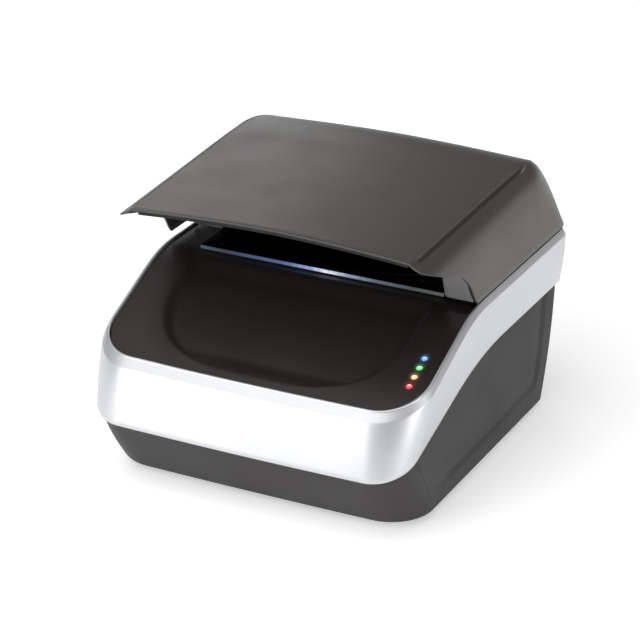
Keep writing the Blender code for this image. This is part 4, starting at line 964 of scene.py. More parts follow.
@dataclass(frozen=True)
class SilverBand:
    """The stepped silver band: a section whose rule is followed round the body by a node tree."""

    foot: Plan = Plan(0.0863, -0.1018, 0.1018, 0.0197, 0.0100)
    rim: Plan = Plan(0.0890, -0.0940, 0.1010, 0.0250, 0.0100)
    lip: Plan = Plan(0.0861, -0.0894, 0.0980, 0.0220, 0.0070)
    guides: tuple[str, ...] = ("foot", "rim", "edge", "lip", "under", "out")
    rim_drop: Pair = (0.0050, 0.0033)
    knee: float = -0.0208
    wall: float = 0.0024
    foot_lip: float = 0.0009
    belly: float = 0.0008
    belly_share: float = 0.78
    belly_power: float = 1.15
    lip_width: float = 0.0011
    lip_depth: float = 0.0030
    lip_slope: float = 0.0012
    lip_groove: float = 0.00040
    foot_round: float = 0.0007
    tuck_share: float = 0.05
    side_shares: Shares = (0.012, 0.04, 0.1, 0.18, 0.27, 0.36, 0.45, 0.54, 0.63, 0.72, 0.8, 0.87, 0.93, 0.975)
    bevel_shares: Shares = (0.03, 0.09, 0.25, 0.5, 0.75, 0.84, 0.86, 0.94, 0.96)
    bevel_sinks: Shares = (0.0, 0.0, 0.0, 0.0, 0.0, 0.0, 1.0, 1.0, 0.0)
    lip_shares: Shares = (0.12, 0.88)
    fall_shares: Shares = (0.1, 1.0)
    weld: float = 0.000005
    sharp: float = 28.0

    def track(self) -> bpy.types.Mesh:
        """Lays the closed loop that the section follows.

        Returns:
            The loop, with its guide points at each place.
        """
        rows = []
        for foot, rim, lip in zip(self.foot.stations(), self.rim.stations(), self.lip.stations()):
            top, foot_height = band_top(lip[1]), band_foot(foot[1])
            drop = mix(*self.rim_drop, ease(self.foot.front, self.knee, lip[1]))
            edge, under = inset(lip, -self.lip_width, top), inset(rim, self.wall, top - self.lip_depth - self.lip_slope)
            low, side, high = inset(foot, 0.0, foot_height), inset(rim, 0.0, top - drop), inset(lip, 0.0, top)
            rows.append((low, side, edge, high, under, Vector((rim[2], rim[3], 0.0))))
        mesh = bpy.data.meshes.new("silver_band_track")
        mesh.from_pydata([row[0] for row in rows], [(i, (i + 1) % len(rows)) for i in range(len(rows))], [])
        for key, vectors in zip(self.guides, zip(*rows)):
            layer = mesh.attributes.new(key, "FLOAT_VECTOR", "POINT")
            layer.data.foreach_set("vector", [value for vector in vectors for value in vector])
        return mesh

    def section(self, tree: Tree) -> list[Socket]:
        """The section's places, from the inner foot up the outside and down the inside.

        Args:
            tree: The tree that reads the guides.

        Returns:
            One place for each step of the section.
        """
        foot, rim, edge, lip, under, out = (
            tree.add("GeometryNodeInputNamedAttribute", key, data_type="FLOAT_VECTOR").outputs[0] for key in self.guides
        )
        wall, foot_lip = tree.size("Wall", self.wall), tree.size("Foot lip", self.foot_lip)
        belly, depth = tree.size("Belly", self.belly), tree.size("Lip depth", self.lip_depth)
        rounding, groove = tree.size("Foot rounding", self.foot_round), tree.size("Lip groove", self.lip_groove)
        inner_foot = tree.vector("SUBTRACT", foot, tree.scale(out, wall))
        places = [inner_foot, tree.vector("SUBTRACT", foot, tree.scale(out, foot_lip))]
        for share in self.side_shares:
            swell = self.belly_share * math.sin(math.pi * share**self.belly_power)
            tuck = max(1 - share / self.tuck_share, 0.0) ** 2
            push = tree.math("SUBTRACT", tree.math("MULTIPLY", belly, swell), tree.math("MULTIPLY", rounding, tuck))
            places.append(tree.shift(tree.between(foot, rim, share), out, push))
        for share, sunk in zip(self.bevel_shares, self.bevel_sinks):
            places.append(tree.shift(tree.between(rim, edge, share), (0.0, 0.0, -sunk), groove))
        places += [tree.between(edge, lip, share) for share in self.lip_shares]
        falls = [tree.math("MULTIPLY", depth, share) for share in self.fall_shares]
        return [*places, *(tree.shift(lip, (0.0, 0.0, -1.0), fall) for fall in falls), under, inner_foot]

    def build(self, finishes: Finishes) -> None:
        """Grows the band and lets it stand for its node.

        Args:
            finishes: The finishes by slot.
        """
        tree = Tree("band_section")
        first, *others = self.section(tree)
        start = tree.source.outputs["Geometry"]
        shape = tree.add("GeometryNodeSetPosition", Geometry=start, Position=first).outputs[0]
        edge = None
        for spot in others:
            pull = tree.add("GeometryNodeExtrudeMesh", mode="EDGES", Mesh=shape, Selection=edge, Offset_Scale=0.0)
            edge = pull.outputs["Top"]
            ends = {"Geometry": pull.outputs["Mesh"], "Selection": edge, "Position": spot}
            shape = tree.add("GeometryNodeSetPosition", **ends).outputs[0]
        joined = tree.add("GeometryNodeMergeByDistance", Geometry=shape, Distance=self.weld).outputs[0]
        band = tree.build("silver_band_fine", joined, finishes["silver_paint"], self.track())
        place(finish_mesh(band, self.sharp), "body", "silver_paint", "silver_band")


@dataclass(frozen=True)
class BaseShell:
    """The lower housing, with the soft panel pressed into each side and the seam in front of it."""

    base: Plan = Plan(0.0846, -0.0810, 0.0835, 0.0227, 0.0080, side_steps=100)
    foot: Plan = Plan(0.0863, -0.102, 0.102, 0.0197, 0.0100, side_steps=100)
    rim: Plan = Plan(0.0890, -0.0940, 0.1010, 0.0250, 0.0100, side_steps=100)
    lip: Plan = Plan(0.0861, -0.0894, 0.0980, 0.0220, 0.0070, side_steps=100)
    floor: float = 0.0030
    set_back: float = 0.0022
    wall: float = 0.0025
    edge_round: float = 0.0012
    round_steps: int = 5
    bulge: float = 0.0009
    gap: float = 0.0003
    levels: int = 40
    panel_depth: float = 0.0010
    panel_foot: tuple[Pair, Pair] = ((-0.0620, 0.0135), (0.0700, 0.0160))
    panel_rear: tuple[Pair, Pair] = ((0.0690, 0.0165), (0.0800, 0.0640))
    panel_round: float = 0.0060
    valley_places: Shares = (-0.0016, 0.0, 0.0014, 0.0040, 0.0090, 0.0200)
    valley_depths: Shares = (0.0, 0.62, 1.0, 0.80, 0.50, 0.35)
    panel_fade: Pair = (-0.0640, -0.0300)
    band_wall: float = 0.0024
    rim_sink: float = 0.0036
    slope_sink: float = 0.0057
    wall_sink: float = 0.0032
    lip_faces: Pair = (0.0006, 0.0026)
    lip_lap: float = 0.0012
    inner_shares: Shares = (0.7, 0.36, 0.08)
    seam: tuple[Pair, Pair] = ((-0.0620, 0.0100), (-0.0790, 0.0410))
    seam_width: float = 0.00022
    seam_depth: float = 0.0004
    seam_reach: float = 0.004
    seam_steps: int = 6
    rear_cut: tuple[Point, Point] = ((-0.0363, 0.0767, 0.0099), (0.0363, 0.0960, 0.0303))
    boss_x: float = 0.0720
    boss_y: Pair = (-0.0400, 0.0600)
    boss_bore: float = 0.0017
    boss_radius: float = 0.0040
    boss_top: float = 0.0220
    boss_foot: float = 0.0063
    rib_end: float = 0.0832
    rib_half: float = 0.0012
    sharp: float = 32.0

    def panel(self, y: float, z: float) -> float:
        """Depth of the pressed panel at a place on the side.

        Args:
            y: Place along the body.
            z: Height.

        Returns:
            How far the side lies inwards there.
        """
        (y0, z0), (y1, z1) = self.panel_foot
        above = z - mix(z0, z1, (y - y0) / (y1 - y0))
        (y0, z0), (y1, z1) = self.panel_rear
        before = mix(y0, y1, (z - z0) / (z1 - z0)) - y
        spread = max(self.panel_round - abs(above - before), 0.0)
        inside = min(above, before) - spread**2 / (4 * self.panel_round)
        depth = flow(self.valley_places, self.valley_depths, inside) * ease(*self.panel_fade, y)
        return self.panel_depth * depth if inside > self.valley_places[0] else 0.0

    def section(self, base: Station, foot: Station, rim: Station, lip: Station) -> list[Vector]:
        """Up the outside, in under the band, over the rim and down the inside.

        Args:
            base: Station of the base's plan.
            foot: Station of the band's foot.
            rim: Station of the band's widest line.
            lip: Station of the band's inner edge.

        Returns:
            The section's points.
        """
        top, under = band_top(lip[1]), band_foot(foot[1]) - self.gap
        start, end = inset(base, 0.0, self.floor), inset(foot, self.set_back, under)
        out, height = Vector((base[2], base[3], 0.0)), under - self.floor
        points = []
        for share in steps(self.round_steps)[:-1]:
            turn = math.pi / 2 * share
            lift = self.edge_round * (1 - math.cos(turn)) / height
            points.append(start.lerp(end, lift) - out * self.edge_round * (1 - math.sin(turn)))
        for share in steps(self.levels):
            level = mix(self.edge_round / height, 1.0, share)
            spot = start.lerp(end, level) + out * self.bulge * math.sin(math.pi * level)
            points.append(spot - out * self.panel(spot.y, spot.z) * abs(base[2]) ** 4)
        behind, inside = self.band_wall + self.gap, self.band_wall + self.gap + self.wall
        rim_top, slope_foot = top - self.rim_sink - self.gap, top - self.slope_sink
        outer, inner = self.lip_faces
        points += [
            inset(foot, behind, under),
            inset(rim, behind, slope_foot),
            inset(lip, outer, rim_top - self.gap),
            inset(lip, outer, rim_top),
            inset(lip, inner, rim_top),
            inset(lip, inner, slope_foot - self.lip_lap),
            inset(rim, inside, slope_foot - self.wall_sink),
            inset(foot, inside, under),
        ]
        points += [start.lerp(end, share) - out * self.wall for share in self.inner_shares]
        return [*points, start - out * (self.wall + self.edge_round / 2)]

    def seam_cutter(self, side: Side, finish: Material) -> Piece:
        """A thin blade that cuts the seam beside the front corner.

        Args:
            side: Which side.
            finish: Its material.

        Returns:
            The blade.
        """
        points = []
        for share in steps(self.seam_steps):
            y, z = (mix(start, end, share) for start, end in zip(*self.seam))
            level = (z - self.floor) / (band_foot(y) - self.floor)
            skin = mix(self.base.half_width, self.foot.half_width - self.set_back, level)
            skin += self.bulge * math.sin(math.pi * min(level, 1.0)) - self.seam_depth
            for reach, along in ((0.0, -1), (0.0, 1), (self.seam_reach, 1), (self.seam_reach, -1)):
                points.append((side.value * (skin + reach), y + along * self.seam_width / 2, z))
        last = len(points) - 4
        faces = [*grid_faces(self.seam_steps + 1, 4, ring=True), (0, 1, 2, 3), tuple(range(last, last + 4))]
        return new_piece(f"seam_{side.word}", points, faces, finish)

    def build(self, finishes: Finishes) -> None:
        """Makes the shell, its seams, its rear opening and its screw bosses.

        Args:
            finishes: The finishes by slot.
        """
        finish = finishes["base_plastic"]
        plans = zip(*(plan.stations() for plan in (self.base, self.foot, self.rim, self.lip)))
        rows = [self.section(*stations) for stations in plans]
        points = [point for row in rows for point in row]
        grid = grid_faces(len(rows) + 1, len(rows[0]), ring=True)
        faces = [tuple(corner % len(points) for corner in face) for face in grid]
        shell = new_piece("base_shell_fine", points, faces, finish)
        cutters = [self.seam_cutter(side, finish) for side in Side]
        cut_away(shell, [*cutters, block("io_cut", *self.rear_cut, finish)], self.sharp)
        place(shell, "body", "base_plastic", "base_shell")
        height, rib = self.boss_top - self.boss_foot, self.rib_half
        profile = [(self.boss_bore, 0.0), (self.boss_radius, 0.0), (self.boss_radius, height)]
        for side in Side:
            for y, end in zip(self.boss_y, ("front", "rear")):
                x = side.value * self.boss_x
                boss = lathe(f"screw_boss_{end}_{side.word}", profile, (x, y, self.boss_foot), finish, 32)
                place(boss, "body", "base_plastic")
                near, far = sorted((x + side.value * self.boss_radius / 2, side.value * self.rib_end))
                low, high = (near, y - rib, self.boss_foot + rib), (far, y + rib, self.boss_top - rib)
                place(block(f"boss_rib_{end}_{side.word}", low, high, finish), "body", "base_plastic")


@dataclass(frozen=True)
class Deck:
    """The black deck inside the band's lip, with the hand scoop in front of the window."""

    half_width: float = 0.0855
    front: float = -0.0882
    front_radius: float = 0.0214
    rear: float = 0.0974
    rear_radius: float = 0.0064
    lip_front: float = -0.0894
    bow: float = 0.0006
    bow_straight: float = 0.0641
    step: float = 0.0014
    wall: float = 0.0022
    scoop_half: float = 0.0675
    scoop_front: float = -0.0845
    taper_start: float = -0.0350
    scoop_power: float = 2.6
    scoop_wall: float = 0.0058
    scoop_fade: float = 0.0120
    scoop_back: Pair = (-0.0275, -0.0150)
    scoop_depth: float = 0.0030
    opening: Point = (0.0650, -0.0095, 0.0745)
    opening_levels: Pair = (0.08, 0.11)
    columns: int = 200
    row_steps: tuple[int, int, int, int] = (28, 90, 14, 8)
    light_hole: float = 0.0018
    light_bore: Pair = (0.06, 0.03)
    post_radius: float = 0.0018
    post_x: float = 0.0750
    post_y: Pair = (-0.07350, -0.04900)
    post_floor: float = 0.0653
    sharp: float = 30.0

    def scoop(self, x: float, y: float) -> float:
        """Depth of the hand scoop at a point of the deck.

        Args:
            x: Place across the deck.
            y: Place along it.

        Returns:
            The depth.
        """
        taper = min(max((self.taper_start - y) / (self.taper_start - self.scoop_front), 0.0), 1.0)
        half = self.scoop_half * (1 - taper**self.scoop_power) ** (1 / self.scoop_power)
        across = 1 - ease(half - self.scoop_wall, half, abs(x))
        along = ease(self.scoop_front, self.scoop_front + self.scoop_fade, y)
        return self.scoop_depth * across * along * (1 - ease(*self.scoop_back, y))

    def height(self, x: float, y: float) -> float:
        """Height of the deck's upper face at a point."""
        return band_top(y) - self.step - self.scoop(x, y)

    def rows(self) -> list[Pair]:
        """Spreads the rows of the deck's grid.

        Returns:
            (y, half width) from the front to the rear.
        """
        front, middle, back, rear = self.row_steps
        rows = []
        for share in steps(front)[:-1]:
            turn = math.pi / 2 * share
            half = self.half_width - self.front_radius * (1 - math.sin(turn))
            rows.append((self.front + self.front_radius * (1 - math.cos(turn)), half))
        marks = (self.front + self.front_radius, self.opening[1], self.rear - self.rear_radius)
        for start, end, count in zip(marks, marks[1:], (middle, back)):
            rows += [(mix(start, end, share), self.half_width) for share in steps(count)[:-1]]
        for share in steps(rear):
            turn = math.pi / 2 * share
            half = self.half_width - self.rear_radius * (1 - math.cos(turn))
            rows.append((self.rear - self.rear_radius * (1 - math.sin(turn)), half))
        return rows

    def point(self, share: float, y: float, half: float) -> Point:
        """A point of the upper face.

        Args:
            share: Its share of the row's half width.
            y: The row's place.
            half: The row's half width.

        Returns:
            The point.
        """
        x = share * half
        bow = self.bow * max(1 - (x / self.bow_straight) ** 2, 0.0) * (1 - ease(self.lip_front, self.taper_start, y))
        return x, y - bow, self.height(x, y - bow)

    def build(self, finishes: Finishes) -> None:
        """Makes the deck with its window and light holes, and the posts of the light board.

        Args:
            finishes: The finishes by slot.
        """
        finish = finishes["deck_black"]
        shares = [math.sin(math.pi / 2 * (2 * column / self.columns - 1)) for column in range(self.columns + 1)]
        rows = self.rows()
        points = [self.point(share, y, half) for y, half in rows for share in shares]
        under, count, last = len(points), len(shares), len(rows) - 1
        points += [(x, y, z - self.wall) for x, y, z in points]
        faces = grid_faces(len(rows), count) + grid_faces(len(rows), count, first=under)
        rim = [*range(0, last * count, count), *range(last * count, under)]
        rim += [*range(under - 1 - count, 0, -count), *range(count - 2, 0, -1)]
        faces += [(a, b, b + under, a + under) for a, b in zip(rim, rim[1:] + rim[:1])]
        deck = new_piece("deck_fine", points, faces, finish)
        half, front, rear = self.opening
        low, high = self.opening_levels
        cutters = [block("deck_window", (-half, front, low), (half, rear, high), finish)]
        foot, length = self.light_bore
        bore = [(self.light_hole, 0.0), (self.light_hole, length)]
        cutters += [lathe(f"deck_hole_{light.word}", bore, (*light.centre, foot), finish) for light in StatusLight]
        cut_away(deck, cutters, self.sharp)
        place(deck, "body", "deck_black", "top_plate")
        for y, end in zip(self.post_y, ("front", "rear")):
            height = self.height(self.post_x, y) - self.wall / 2 - self.post_floor
            profile = [(self.post_radius, 0.0), (self.post_radius, height)]
            post = lathe(f"indicator_post_{end}", profile, (self.post_x, y, self.post_floor), finish, 24)
            place(post, "body", "deck_black")


@dataclass(frozen=True)
class Window:
    """The reading window: polished faces, chamfered edges and a ground front edge."""

    half: float = 0.0680
    front: float = -0.0125
    rear: float = 0.0775
    floor: float = 0.0950
    thickness: float = 0.0018
    chamfer: float = 0.0004
    strip: float = 0.0003
    edge_steps: int = 12
    edge_sharp: float = 20.0

    def build(self, finishes: Finishes) -> None:
        """Makes the pane and its ground edge.

        Args:
            finishes: The finishes by slot.
        """
        low = (-self.half, self.front + self.strip, self.floor)
        high = (self.half, self.rear, self.floor + self.thickness)
        pane = block("window_pane", low, high, finishes["clear_glass"], self.chamfer)
        place(pane, "body", "clear_glass", "window_glass")
        strip, thick, end = self.strip, self.thickness, self.half - self.chamfer
        section = [(0.0, self.chamfer), (strip, 0.0), (strip, thick), (0.0, thick - self.chamfer)]
        marks = [mix(-end, end, share) for share in steps(self.edge_steps)]
        points = [(x, self.front + y, self.floor + z) for x in marks for y, z in section]
        last = len(points) - 4
        faces = [*grid_faces(len(marks), 4, ring=True), (0, 1, 2, 3), tuple(range(last, last + 4))]
        edge = new_piece("window_front_edge", points, faces, finishes["glass_edge"], self.edge_sharp)
        place(edge, "body", "clear_glass", "window_glass")


@dataclass(frozen=True)
class StatusLenses:
    """The domed lenses of the four status lights."""

    deck: Deck
    radius: float = LIGHT_RADIUS
    foot: float = 0.0653
    foot_share: float = 0.9
    foot_round: float = 0.0003
    proud: float = 0.0004
    dome: float = 0.0007
    dome_steps: int = 7

    def build(self, finishes: Finishes) -> None:
        """Makes one lens for each light.

        Args:
            finishes: The finishes by slot.
        """
        for light in StatusLight:
            rise = self.deck.height(*light.centre) + self.proud - self.foot - self.dome
            profile = [(self.radius * self.foot_share, 0.0), (self.radius, self.foot_round), (self.radius, rise)]
            for share in steps(self.dome_steps)[1:-1]:
                turn = math.pi / 2 * share
                profile.append((self.radius * math.cos(turn), rise + self.dome * math.sin(turn)))
            slot = f"light_{light.word}"
            lens = lathe(f"status_lens_{light.word}", profile, (*light.centre, self.foot), finishes[slot])
            place(lens, "body", slot, f"status_light_{light.word}")


@dataclass(frozen=True)
class Feet:
    """Rubber feet with moulded tread rings, and the cover's cross-head screws."""

    foot_x: float = 0.0620
    foot_y: Pair = (-0.0600, 0.0640)
    sole: tuple[Pair, ...] = ((0.0060, 0.0002), (0.0066, 0.0005), (0.0070, 0.0012), (0.0070, 0.0027))
    rings: int = 4
    ring_gap: float = 0.0013
    ring_wire: float = 0.00035
    ring_steps: tuple[int, int] = (48, 8)
    screw_x: float = 0.0720
    screw_y: Pair = (-0.0400, 0.0600)
    head: tuple[Pair, ...] = ((0.0014, 0.0), (0.0023, 0.0001), (0.0028, 0.0004), (0.0030, 0.0008), (0.0030, 0.0016))
    shank: tuple[Pair, ...] = ((0.0014, 0.0017), (0.0014, 0.0120), (0.0007, 0.0130))
    cross: Pair = (0.0016, 0.0003)
    cross_levels: Pair = (-0.001, 0.0008)
    floor: float = 0.0030

    def tread(self, name: str, x: float, y: float, finish: Material) -> Piece:
        """Rings in the foot's sole, each a wire bent round and scaled outwards.

        Args:
            name: The piece's name.
            x: The foot's middle across the body.
            y: The foot's middle along the body.
            finish: Its material.

        Returns:
            The baked rings.
        """
        tree = Tree(f"{name}_rings")
        gap, wire = tree.size("Ring gap", self.ring_gap), tree.size("Wire radius", self.ring_wire)
        ends = {"Count": tree.size("Ring count", self.rings), "Start_Location": (x, y, self.ring_wire)}
        spots = tree.add("GeometryNodeMeshLine", Offset=(0.0, 0.0, 0.0), **ends)
        loop, profile = (
            tree.add("GeometryNodeCurvePrimitiveCircle", Resolution=count, Radius=radius)
            for count, radius in zip(self.ring_steps, (gap, wire))
        )
        number = tree.math("ADD", tree.add("GeometryNodeInputIndex").outputs[0], 1.0)
        copies = tree.copies(spots, loop, Scale=tree.scale(WHITE, number))
        loose = tree.add("GeometryNodeRealizeInstances", copies).outputs[0]
        tube = tree.add("GeometryNodeCurveToMesh", Curve=loose, Profile_Curve=profile.outputs[0])
        return tree.build(name, tube.outputs[0], finish)

    def screw(self, name: str, x: float, y: float, finish: Material) -> Piece:
        """A screw with a domed head and a cross recess.

        Args:
            name: The piece's name.
            x: The screw's middle across the body.
            y: The screw's middle along the body.
            finish: Its material.

        Returns:
            The screw.
        """
        screw = lathe(name, [*self.head, *self.shank], (x, y, self.floor), finish)
        low, high = (self.floor + level for level in self.cross_levels)
        arms = [
            block(f"{name}_arm_{turn}", (x - a, y - b, low), (x + a, y + b, high), finish)
            for turn, (a, b) in enumerate((self.cross, self.cross[::-1]))
        ]
        cut_away(screw, arms)
        return screw

    def build(self, finishes: Finishes) -> None:
        """Makes the feet and the screws.

        Args:
            finishes: The finishes by slot.
        """
        rubber, steel = finishes["rubber"], finishes["steel"]
        for side in Side:
            foot_x, screw_x = side.value * self.foot_x, side.value * self.screw_x
            for y, end in zip(self.foot_y, ("front", "rear")):
                name = f"rubber_foot_{end}_{side.word}"
                place(lathe(f"{name}_sole", self.sole, (foot_x, y, 0.0), rubber), "body", "rubber", name)
                place(self.tread(f"{name}_tread", foot_x, y, rubber), "body", "rubber", name)
            for y, end in zip(self.screw_y, ("front", "rear")):
                name = f"cover_screw_{end}_{side.word}"
                place(self.screw(f"{name}_cross", screw_x, y, steel), "body", "steel", name)


@dataclass(frozen=True)
class Sockets:
    """What shows inside the rear sockets: the USB tongue with its contacts, and the jack's pin."""

    usb_x: float = -0.0180
    jack_x: float = 0.0040
    middle: float = 0.0187
    back: float = 0.0702
    sink: float = 0.0002
    tongue: Point = (0.0028, 0.0070, 0.0013)
    tongue_round: float = 0.0002
    contacts: int = 2
    contact: Point = (0.0010, 0.0060, 0.0002)
    contact_gap: float = 0.0025
    contact_inset: float = 0.0035
    pin: tuple[Pair, ...] = ((0.0008, 0.0), (0.0008, 0.0070), (0.0004, 0.0076))

    def contact_row(self, name: str, height: float, finish: Material) -> Piece:
        """A row of contacts on a face of the tongue.

        Args:
            name: The piece's name.
            height: Height of their middles.
            finish: Their material.

        Returns:
            The baked row.
        """
        tree = Tree(f"{name}_row")
        gap, count = tree.size("Contact gap", self.contact_gap), tree.size("Contact count", self.contacts)
        start = (self.usb_x - self.contact_gap / 2, self.back + self.contact_inset, height)
        ends = {"Start_Location": start, "Offset": tree.scale((1.0, 0.0, 0.0), gap), "Count": count}
        spots, bar = tree.add("GeometryNodeMeshLine", **ends), tree.add("GeometryNodeMeshCube", Size=self.contact)
        return tree.build(name, tree.copies(spots, bar), finish)

    def build(self, finishes: Finishes) -> None:
        """Makes the tongue, its contacts and the pin.

        Args:
            finishes: The finishes by slot.
        """
        half, length, thick = self.tongue
        rear = self.back - self.sink
        low = (self.usb_x - half, rear, self.middle - thick)
        high = (self.usb_x + half, rear + length, self.middle + thick)
        tongue = block("usb_tongue", low, high, finishes["satin_black"], self.tongue_round)
        place(tongue, "body", "satin_black")
        for side, height in (("upper", high[2]), ("lower", low[2])):
            place(self.contact_row(f"usb_contacts_{side}", height, finishes["contact"]), "body", "steel")
        pin = lathe("jack_pin", self.pin, (0.0, 0.0, 0.0), finishes["contact"], 24)
        for point in pin.data.vertices:
            x, y, z = point.co
            point.co = (self.jack_x + x, rear + z, self.middle + y)
        place(finish_mesh(pin), "body", "steel")


@dataclass(frozen=True)
class BoardParts:
    """Small surface parts scattered over the main board."""

    low: Pair = (-0.0580, -0.0400)
    high: Pair = (0.0580, 0.0150)
    level: float = 0.0129
    density: float = 9000.0
    spacing: float = 0.0032
    seed: int = 5
    part: Point = (0.0016, 0.0009, 0.0006)

    def build(self, finishes: Finishes) -> None:
        """Scatters the parts.

        Args:
            finishes: The finishes by slot.
        """
        tree = Tree("board_parts_scatter")
        ends = {"Density_Max": tree.size("Density", self.density), "Seed": tree.size("Seed", self.seed)}
        (x0, y0), (x1, y1) = self.low, self.high
        area = tree.add("GeometryNodeMeshGrid", Size_X=x1 - x0, Size_Y=y1 - y0).outputs[0]
        middle = ((x0 + x1) / 2, (y0 + y1) / 2, self.level)
        ends["Mesh"] = tree.add("GeometryNodeTransform", Geometry=area, Translation=middle).outputs[0]
        ends["Distance_Min"] = self.spacing
        spots = tree.add("GeometryNodeDistributePointsOnFaces", distribute_method="POISSON", **ends)
        parts = tree.copies(spots, tree.add("GeometryNodeMeshCube", Size=self.part))
        place(tree.build("board_parts", parts, finishes["satin_black"]), "body", "satin_black")


# Pieces of the hood


@dataclass(frozen=True)
class HoodShell:
    """The hood's outer shell: crown, creased sides, swept front corners and rolled rear."""

    front: float = -0.0685
    rear: float = 0.1015
    foot: float = 0.0984
    top_front: float = 0.13875
    rise: float = 0.040
    roll_start: float = 0.0315
    roll_power: float = 2.75
    half_width: float = 0.0887
    crown_drop: Pair = (0.0036, 0.0024)
    crown_power: float = 1.7
    crease_half: Pair = (0.0748, 0.0769)
    crease_width: float = 0.0030
    crease_drop: float = 0.0021
    crease_fade: Pair = (0.0480, 0.0720)
    crease_run_in: float = 0.012
    corner: Pair = (0.0137, 0.0493)
    wall: float = 0.0009
    softening: tuple[float, float, int] = (0.0003, 60.0, 2)
    sharp: float = 35.0
    sweep_top: float = 0.1318
    sweep_rear: Pair = (-0.0065, -0.0193)
    sweep_places: Shares = (0.0, 0.05, 0.18, 0.34, 0.54, 0.69, 0.785, 0.846, 0.886, 0.923, 0.961, 1.0)
    sweep_drops: Shares = (0.0, 0.042, 0.129, 0.23, 0.344, 0.437, 0.545, 0.64, 0.725, 0.823, 0.922, 1.0)
    shoulder_drops: Shares = (0.0, 0.035, 0.10, 0.22, 0.45, 1.0)
    shoulder_outs: Shares = (0.0, 0.24, 0.46, 0.64, 0.82, 1.0)
    groove_places: Shares = (0.05, 0.12, 0.20, 0.30, 0.45, 0.70, 1.0)
    groove_falls: Shares = (0.12, 0.60, 1.10, 1.30, 1.26, 1.13, 1.0)
    groove_power: float = 0.8
    side_power: float = 1.5
    section_steps: int = 18
    row_steps: tuple[int, int, int] = (44, 10, 26)
    row_power: float = 0.8

    def along(self, y: float) -> float:
        """Share of the way from the front to the rear."""
        return (y - self.front) / (self.rear - self.front)

    def crown(self, y: float) -> float:
        """Height of the crown's middle before the roll lowers it."""
        return self.top_front + self.rise * (y - self.front)

    def fall(self, x: float, y: float) -> float:
        """How far the crown lies below its middle at x."""
        return mix(*self.crown_drop, self.along(y)) * (abs(x) / self.crease_half[1]) ** self.crown_power

    def roll(self, y: float) -> float:
        """Share of the height above the foot that the rear roll leaves."""
        past = max(y - self.roll_start, 0.0) / (self.rear - self.roll_start)
        return max(1 - past**self.roll_power, 0.0) ** (1 / self.roll_power)

    def narrowing(self, y: float, z: float) -> float:
        """Share of the half width that the rounded rear corners leave.

        Args:
            y: Place along the hood.
            z: Height.

        Returns:
            The share.
        """
        corner = mix(*self.corner, min((z - self.foot) / (self.top_front - self.foot), 1.0))
        past = max(y - (self.rear - corner), 0.0) / corner
        return 1 - corner * (1 - math.sqrt(max(1 - past**2, 0.0))) / self.half_width

    def sweep(self, y: float, side: Side) -> float:
        """Height of a side's lower edge at a place along the hood."""
        share = (y - self.front) / (side.pick(self.sweep_rear) - self.front)
        return mix(self.sweep_top, self.foot, flow(self.sweep_places, self.sweep_drops, share))

    def half_section(self, y: float, side: Side) -> list[Point]:
        """The section from the crown's middle over the crease and down one side.

        Args:
            y: Place along the hood.
            side: Which side.

        Returns:
            The section's points.
        """
        crown, half = self.crown(y), mix(*self.crease_half, self.along(y))
        points = [(half * share, crown - self.fall(half * share, y)) for share in steps(self.section_steps)]
        edge, drop = points[-1][1], self.crease_drop * (1 - ease(*self.crease_fade, y))
        run_in = ease(self.front, self.front + self.crease_run_in, y)
        for spot, fall in zip(self.groove_places, self.groove_falls):
            points.append((half + self.crease_width * spot, edge - drop * mix(spot**self.groove_power, fall, run_in)))
        side_top = points[-1][1]
        reach = (side_top - self.sweep(y, side)) / (side_top - self.foot)
        for share in steps(self.section_steps)[1:]:
            down = reach * share**self.side_power
            out = flow(self.shoulder_drops, self.shoulder_outs, down)
            points.append((mix(half + self.crease_width, self.half_width, out), mix(side_top, self.foot, down)))
        kept = self.roll(y)
        lowered = [(side.value * x, self.foot + (z - self.foot) * kept) for x, z in points]
        return [(x * self.narrowing(y, z), y, z) for x, z in lowered]

    def places(self) -> list[float]:
        """Spreads the sections along the hood.

        Returns:
            Their places, close together where the hood curves.
        """
        left, (front, middle, rear) = self.sweep_rear[0], self.row_steps
        spots = [mix(self.front, left, share**self.row_power) for share in steps(front)[:-1]]
        spots += [mix(left, self.roll_start, share) for share in steps(middle)[:-1]]
        return spots + [mix(self.roll_start, self.rear, math.sin(math.pi / 2 * share)) for share in steps(rear)]

    def build(self, finishes: Finishes) -> None:
        """Makes the shell with its wall and softened edges.

        Args:
            finishes: The finishes by slot.
        """
        rows = [self.half_section(y, Side.LEFT)[:0:-1] + self.half_section(y, Side.RIGHT) for y in self.places()[:-1]]
        rows.append([(x, self.rear, self.foot) for x, _, _ in rows[-1]])
        points = [point for row in rows for point in row]
        shell = new_piece("hood_shell_fine", points, grid_faces(len(rows), len(rows[0])), finishes["hood_plastic"])
        if sum(face.normal.z * face.area for face in shell.data.polygons) < 0:
            shell.data.flip_normals()
        thicken(shell, self.wall, even=True)
        soften(shell, *self.softening)
        bake(shell, self.sharp)
        place(shell, "hood", "hood_plastic", "hood_shell")


